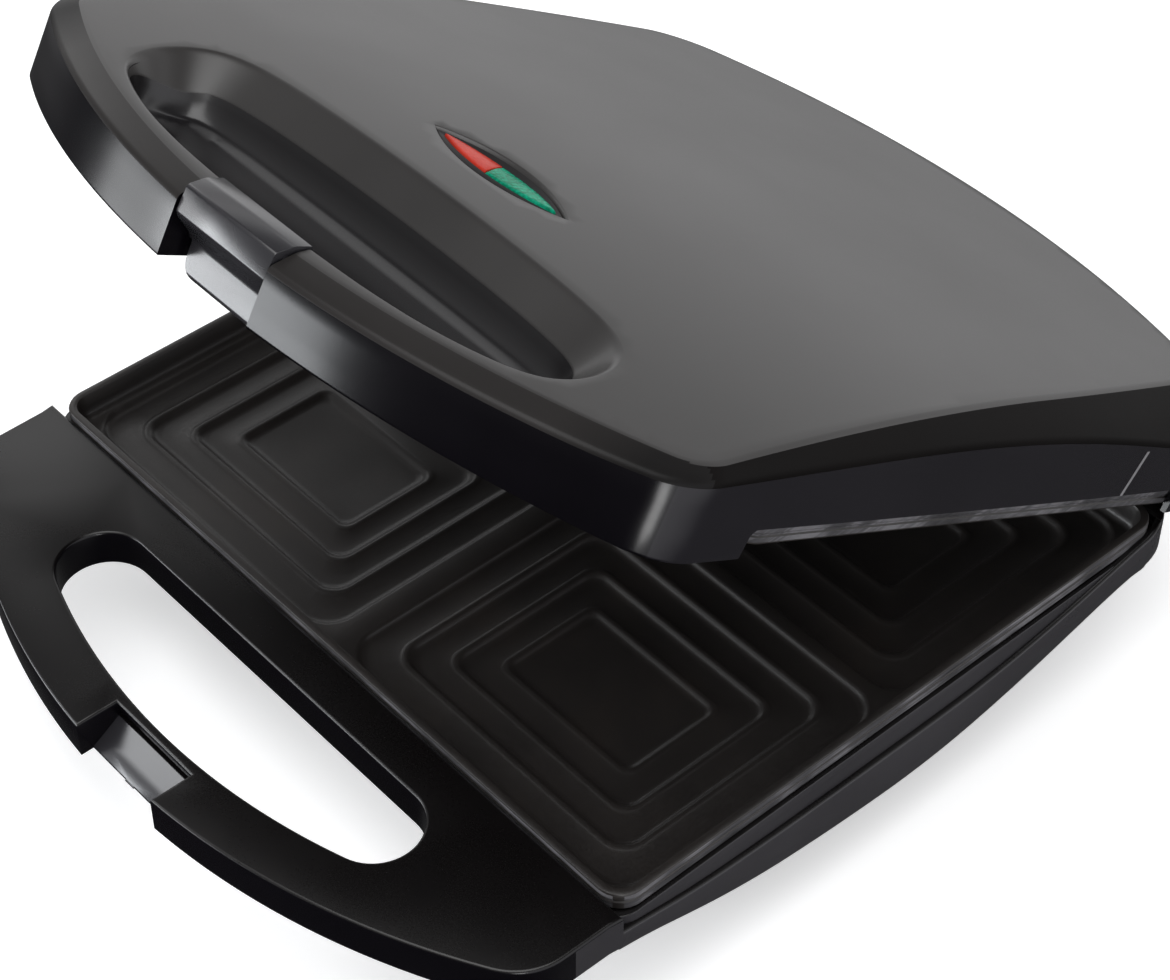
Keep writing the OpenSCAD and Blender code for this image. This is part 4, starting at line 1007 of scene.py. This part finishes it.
MAT = {
    "chamfer": chamfer_satin(),
    "lid": plastic("lid_satin", (0.017, 0.0155, 0.0150), (0.024, 0.0222, 0.0215), rough=(0.30, 0.38), grain=1500.0, grain_h=0.000010, grain_s=0.15, spec=0.5),
    "case": plastic("case_gloss", (0.0016, 0.0013, 0.0021), (0.0028, 0.0023, 0.0036), rough=(0.16, 0.24), grain=1100.0, grain_h=0.000016, grain_s=0.2, spec=0.32),
    "deck": plastic("deck_satin", (0.0018, 0.0014, 0.0015), (0.0034, 0.0027, 0.0028), rough=(0.22, 0.32), grain=1000.0, grain_h=0.000010, grain_s=0.15, spec=0.40),
    # the rib's light grey is a painted highlight: the bright line that light draws along the thin raised rib
    "edge": plastic("rib_painted_highlight", (0.15, 0.148, 0.155), (0.19, 0.187, 0.195), rough=(0.25, 0.35), grain=1300.0, grain_h=0.000004, grain_s=0.08, spec=0.5),
    "seat": plastic("seat_satin", (0.014, 0.013, 0.0135), (0.020, 0.019, 0.0195), rough=(0.35, 0.45), grain=1300.0, grain_h=0.000008, grain_s=0.12, spec=0.12),
    "bowl": plastic("recess_gloss", (0.0036, 0.0031, 0.0038), (0.0058, 0.0051, 0.0060), rough=(0.20, 0.28), grain=1200.0, grain_h=0.000008, grain_s=0.12, spec=0.55),
    # a lighter copy of the case plastic for sideways walls: painted light, the side panels' brighter tone from the way
    # light falls on them
    "side": plastic("side_painted_light", (0.0075, 0.0068, 0.0088), (0.0105, 0.0096, 0.0122), rough=(0.18, 0.28), grain=1100.0, grain_h=0.000016, grain_s=0.2, spec=0.34),
    # a lighter copy of the case plastic for the base's side walls: painted light standing in for the light they catch
    "rail": plastic("rail_painted_light", (0.020, 0.0190, 0.0215), (0.028, 0.0268, 0.0300), rough=(0.24, 0.34), grain=1100.0, grain_h=0.000016, grain_s=0.2, spec=0.45),
    "band": plastic("band_matte", (0.0024, 0.0019, 0.0018), (0.0040, 0.0032, 0.0030), rough=(0.4, 0.55), grain=1000.0, grain_h=0.00002, grain_s=0.2, spec=0.06),
    "under": plastic("underside_matte", (0.010, 0.0095, 0.010), (0.016, 0.0155, 0.016), rough=(0.5, 0.68), grain=800.0, grain_h=0.00004, grain_s=0.4, spec=0.3),
    # also laid on the base's latch ramp, where it is painted light: a lit copy of the case plastic
    "latch": plastic("latch_gloss", (0.016, 0.0155, 0.018), (0.024, 0.0235, 0.027), rough=(0.20, 0.28), grain=1300.0, grain_h=0.000004, grain_s=0.08, spec=0.6),
    "plate": coated_plate(),
    "skirt": skirt_metal(),
    "red": lens_mat("red_lens_tint", (0.32, 0.016, 0.008), (0.52, 0.042, 0.024), False),
    "green": lens_mat("green_lens_tint", (0.001, 0.15, 0.080), (0.005, 0.40, 0.235), True),
    "rubber": rubber("foot_rubber_black"),
    "jacket": plastic("wire_jacket_cream", (0.55, 0.53, 0.48), (0.68, 0.66, 0.60), rough=(0.5, 0.7), grain=600.0),
    "steel": metal("screw_steel_drawn", (0.42, 0.42, 0.43), (0.62, 0.62, 0.63)),
    "sheet": metal("reflector_sheet", (0.60, 0.60, 0.60), (0.74, 0.74, 0.73), rough=(0.3, 0.5), grain=(20.0, 900.0, 900.0)),
    "tube": metal("heater_tube", (0.14, 0.12, 0.105), (0.24, 0.21, 0.185), rough=(0.4, 0.6), metallic=0.8),
    "hinge": metal("hinge_plated", (0.40, 0.40, 0.41), (0.56, 0.56, 0.57), rough=(0.3, 0.45), metallic=0.9),
    "brass": metal("brass_plated", (0.55, 0.42, 0.18), (0.70, 0.56, 0.26)),
    "thermo": metal("thermostat_metal", (0.50, 0.47, 0.38), (0.66, 0.63, 0.53)),
    "ceramic": ceramic("ceramic_white"),
}
lamp, nt_, p_ = nodes_of("neon_glass")
co_ = coords(nt_)
link(nt_, ramp(nt_, noise(nt_, co_, 300.0), [(0.3, (0.85, 0.45, 0.28)), (0.7, (1.0, 0.66, 0.45))]), p_.inputs["Base Color"])
link(nt_, span(nt_, noise(nt_, co_, 200.0), 0.05, 0.15), p_.inputs["Roughness"])
p_.inputs["Transmission Weight"].default_value = 0.8
MAT["lamp"] = lamp


def dress(ob, mat):
    ob.data.materials.clear()
    ob.data.materials.append(MAT[mat] if isinstance(mat, str) else mat)


# ---------------------------------------------------------------- the object
def assign_regions(ob, first, second, test):
    """first on every face, second where test(centre in mm, normal) holds."""
    ob.data.materials.clear()
    ob.data.materials.append(MAT[first])
    ob.data.materials.append(MAT[second])
    for f in ob.data.polygons:
        f.material_index = 1 if test(f.center, f.normal) else 0


pieces = {}


def put(ob, body, nodes, mat=None):
    if mat:
        dress(ob, mat)
    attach(ob, body)
    if nodes:
        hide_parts(*nodes)
    pieces[ob.name] = ob
    return ob


def shut(v):
    """A point in metres on the open lid, as millimetres with the lid shut."""
    dy, dz = v.y * 1000 - SHIFT - HY, v.z * 1000 - HZ
    return v.x * 1000, dy * math.cos(OPEN) - dz * math.sin(OPEN) + HY, dy * math.sin(OPEN) + dz * math.cos(OPEN) + HZ


def shut_dir(n):
    return n.x, n.y * math.cos(OPEN) - n.z * math.sin(OPEN), n.y * math.sin(OPEN) + n.z * math.cos(OPEN)


ls = put(lid_shell(), "lid", ["lid_shell"])
ls.data.materials.clear()
for m in ("lid", "case", "band", "bowl", "side", "edge", "chamfer"):
    ls.data.materials.append(MAT[m])
edge = lid_edge(-0.6)
sill_line = offset(sill_of(mirror_half(resample(spline(RIM, 200), 90)))[0], 0.15)
for f in ls.data.polygons:
    x, y, z = shut(f.center)
    nx, ny, nz = shut_dir(f.normal)
    # the lid's sideways walls get the lighter copy of the case plastic, painted light on the side panels
    k = 4 if abs(nx) > 0.8 and abs(x) > 120 else 1
    # the thin rib on each side takes the light grey material, a painted highlight along its edge
    if 173 < y < 178 and 62.8 < z < 77.7 and abs(x) > 133.0 - (y - 98.0) ** 2 / 18000.0 + 0.08:
        k = 5
    elif nz > 0.03 and z > 60 and -60 < y < -4 and abs(x) < 88 and inside(sill_line, (x, y)):
        k = 3
    elif nz > 0.1 and inside(edge, (x, y)) and z > 60:
        k = 0
    elif nz > 0.05 and z > 66:
        k = 2 if y > -24 else 6
    f.material_index = k
bs = base_shell()
put(bs, "base", ["base_shell"])
assign_regions(bs, "case", "deck", lambda c, n: n.z > 0.6)
bs.data.materials.append(MAT["rail"])
bs.data.materials.append(MAT["latch"])
for f in bs.data.polygons:
    # the upward faces of the latch-recess ramp take the lighter latch plastic as painted light, a lit patch on the
    # case
    if 0.6 < f.normal.z < 0.95 and abs(f.center.x) < 0.0186 and -0.1690 < f.center.y < -0.1560 and f.center.z < 0.050:
        f.material_index = 3
    # the base's side walls get the lighter copy of the case plastic, painted light on the sides
    elif abs(f.normal.x) > 0.8 and abs(f.center.x) > 0.128 and f.center.z < 0.052 and f.center.y > -0.118:
        f.material_index = 2

lo = plate("lower_plate_coated", to_base, False)
up = plate("upper_plate_coated", to_lid, True)
put(lo, "base", ["lower_plate"])
put(up, "lid", ["upper_plate"])
lz = lambda c, n: abs(n.z) < 0.35 and (abs(c.x) > 0.1285 or c.y < -0.1009 or c.y > 0.1149)
assign_regions(lo, "plate", "skirt", lz)


def upper_side(c, n):
    x, y, z = shut(c)
    return abs(shut_dir(n)[2]) < 0.35 and (abs(x) > 128.5 or y < 1.5 or y > 217.5)


assign_regions(up, "plate", "skirt", upper_side)
put(latch(), "latch_lever", ["latch"], "latch")
put(lens("red_lens_dome", -1), "lid", ["red_lens"], "red")
put(lens("green_lens_dome", 1), "lid", ["green_lens"], "green")
put(bezel(), "lid", ["indicator_bezel"], "seat")

CARRIED = {
    "base_handle_cover": "under", "base_tub": "under", "feet": "rubber", "base_screws": "steel", "handle_screws": "steel", "lower_plate_screws": "steel",
    "lower_element": "tube", "lower_element_ends": "ceramic", "lower_element_clips": "sheet", "lower_reflector": "sheet", "thermostat": "thermo", "thermal_fuse": "ceramic",
    "terminal_block": "ceramic", "terminal_screws": "brass", "base_wiring": "jacket", "cord_gland": "rubber", "hinge_pins": "steel", "lid_frame": "under", "lid_handle_cover": "under",
    "lid_screws": "steel", "hinge_arms": "hinge", "hinge_arm_screws": "steel", "upper_plate_screws": "steel", "upper_element": "tube", "upper_element_ends": "ceramic",
    "upper_element_clips": "sheet", "upper_reflector": "sheet", "lamp_holder": "ceramic", "neon_lamps": "lamp", "lid_wiring": "jacket", "latch_pin": "steel",
}
for name, mat in CARRIED.items():
    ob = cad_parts[name]
    if not ob.material_slots:
        ob.data.materials.append(MAT[mat])
    for sl in ob.material_slots:
        sl.material = MAT[mat]

# ---------------------------------------------------------------- floor, light and camera
fm, nt_, p_ = nodes_of("pale_floor")
co_ = coords(nt_)
link(nt_, ramp(nt_, noise(nt_, co_, 3.0, 2.0), [(0.3, (0.86, 0.86, 0.865)), (0.7, (0.885, 0.885, 0.89))]), p_.inputs["Base Color"])
p_.inputs["Roughness"].default_value = 0.9
p_.inputs["Specular IOR Level"].default_value = 0.1
p_.inputs["Emission Color"].default_value = (1.0, 1.0, 1.0, 1.0)
p_.inputs["Emission Strength"].default_value = 0.42
fb = Build()
i_ = fb.add([(-6000, -6000, 0), (6000, -6000, 0), (6000, 6000, 0), (-6000, 6000, 0)])
fb.f.append(tuple(int(k) for k in i_))
floor = fb.mesh("floor", lambda p: np.asarray(p, float) / 1000.0)
floor.data.materials.append(fm)
floor.visible_glossy = False

world = D.worlds.new("studio")
bpy.context.scene.world = world
world.use_nodes = True
nt = world.node_tree
bg = nt.nodes["Background"]
tc = node(nt, "ShaderNodeTexCoord")
sx = node(nt, "ShaderNodeSeparateXYZ")
link(nt, tc.outputs["Generated"], sx.inputs[0])
G = lambda v: (v, v, v * 1.01)
# bright along the horizon behind the object, dimmer in front, dark below
rise = ramp(nt, span(nt, sx.outputs["Z"], 0.0, 1.0, -1.0, 1.0), [(0.0, G(0.05)), (0.30, G(0.10)), (0.42, G(0.95)), (0.49, G(1.36)), (0.56, G(1.1)), (0.63, G(0.66)), (0.68, G(0.72)), (0.74, G(1.4)), (0.785, G(0.9)), (0.82, G(0.14)), (1.0, G(0.11))])
low = ramp(nt, span(nt, sx.outputs["Z"], 0.0, 1.0, -1.0, 1.0), [(0.0, G(0.02)), (0.40, G(0.02)), (0.54, G(0.03)), (0.66, G(0.12)), (0.78, G(0.40)), (1.0, G(0.60))])
back = span(nt, sx.outputs["Y"], 0.0, 1.0, -0.25, 0.35)
mx = node(nt, "ShaderNodeMix", data_type="RGBA")
link(nt, back, mx.inputs[0])
link(nt, low, mx.inputs[6])
link(nt, rise, mx.inputs[7])
# a soft grey card out to the right, low down
side = node(nt, "ShaderNodeMath", operation="MULTIPLY")
link(nt, span(nt, sx.outputs["X"], 0.0, 1.0, 0.72, 0.84), side.inputs[0])
link(nt, span(nt, sx.outputs["Z"], 0.0, 1.0, -0.62, -0.30), side.inputs[1])
mx2 = node(nt, "ShaderNodeMix", data_type="RGBA")
link(nt, side.outputs[0], mx2.inputs[0])
link(nt, mx.outputs[2], mx2.inputs[6])
mx2.inputs[7].default_value = (1.2, 1.2, 1.24, 1.0)
link(nt, mx2.outputs[2], bg.inputs["Color"])
bg.inputs["Strength"].default_value = 1.0


def area(name, loc, target, size, power, color=(1, 1, 1), sy=None):
    l = D.lights.new(name, "AREA")
    l.shape = "RECTANGLE"
    l.size, l.size_y = size, sy or size
    l.energy = power
    l.color = color
    o = D.objects.new(name, l)
    bpy.context.scene.collection.objects.link(o)
    o.location = loc
    o.visible_camera = False
    o.rotation_euler = (Vector(target) - Vector(loc)).to_track_quat("-Z", "Y").to_euler()
    return o


area("key_top", (0.2, -0.3, 1.9), (0, 0, 0.05), 1.6, 26)
area("soft_left", (-0.894, -1.446, 0.25), (0, -0.12, 0.19), 0.95, 13, (0.94, 0.97, 1.0), sy=0.42)
area("spot_recess", (-0.144, -0.289, 0.209), (0, -0.164, 0.047), 0.10, 0.0135, (0.96, 0.98, 1.0), sy=0.10).data.spread = math.radians(42)
area("card_left", (-0.72, -0.62, 0.13), (0, -0.12, 0.2), 0.34, 1.5, (0.96, 0.98, 1.0), sy=0.34)
area("spot_deck", (-0.45, 0.03, 0.36), (-0.12, -0.12, 0.05), 0.13, 0.075, (1, 1, 1), sy=0.13)
area("strip_right", (1.12, -0.86, 0.20), (0.12, -0.08, 0.14), 0.26, 3.4, (1, 1, 1), sy=0.42)

cam = D.cameras.new("camera")
cam.sensor_fit = "HORIZONTAL"
cam.sensor_width = 36.0
cam.lens = 87.514
cam.clip_start, cam.clip_end = 0.02, 50
co = D.objects.new("camera", cam)
bpy.context.scene.collection.objects.link(co)
R = Matrix(((0.6643483641591521, -0.524545295413034, 0.5324410616200743),
            (0.7474188401978389, 0.463842762897714, -0.4756206141713505),
            (0.002515622462992473, 0.7139342577348898, 0.7002082170870003)))
co.matrix_world = Matrix.Translation(Vector((0.464987, -0.413817, 0.657434))) @ R.to_4x4()
bpy.context.scene.camera = co
bpy.context.scene.view_settings.view_transform = "Standard"
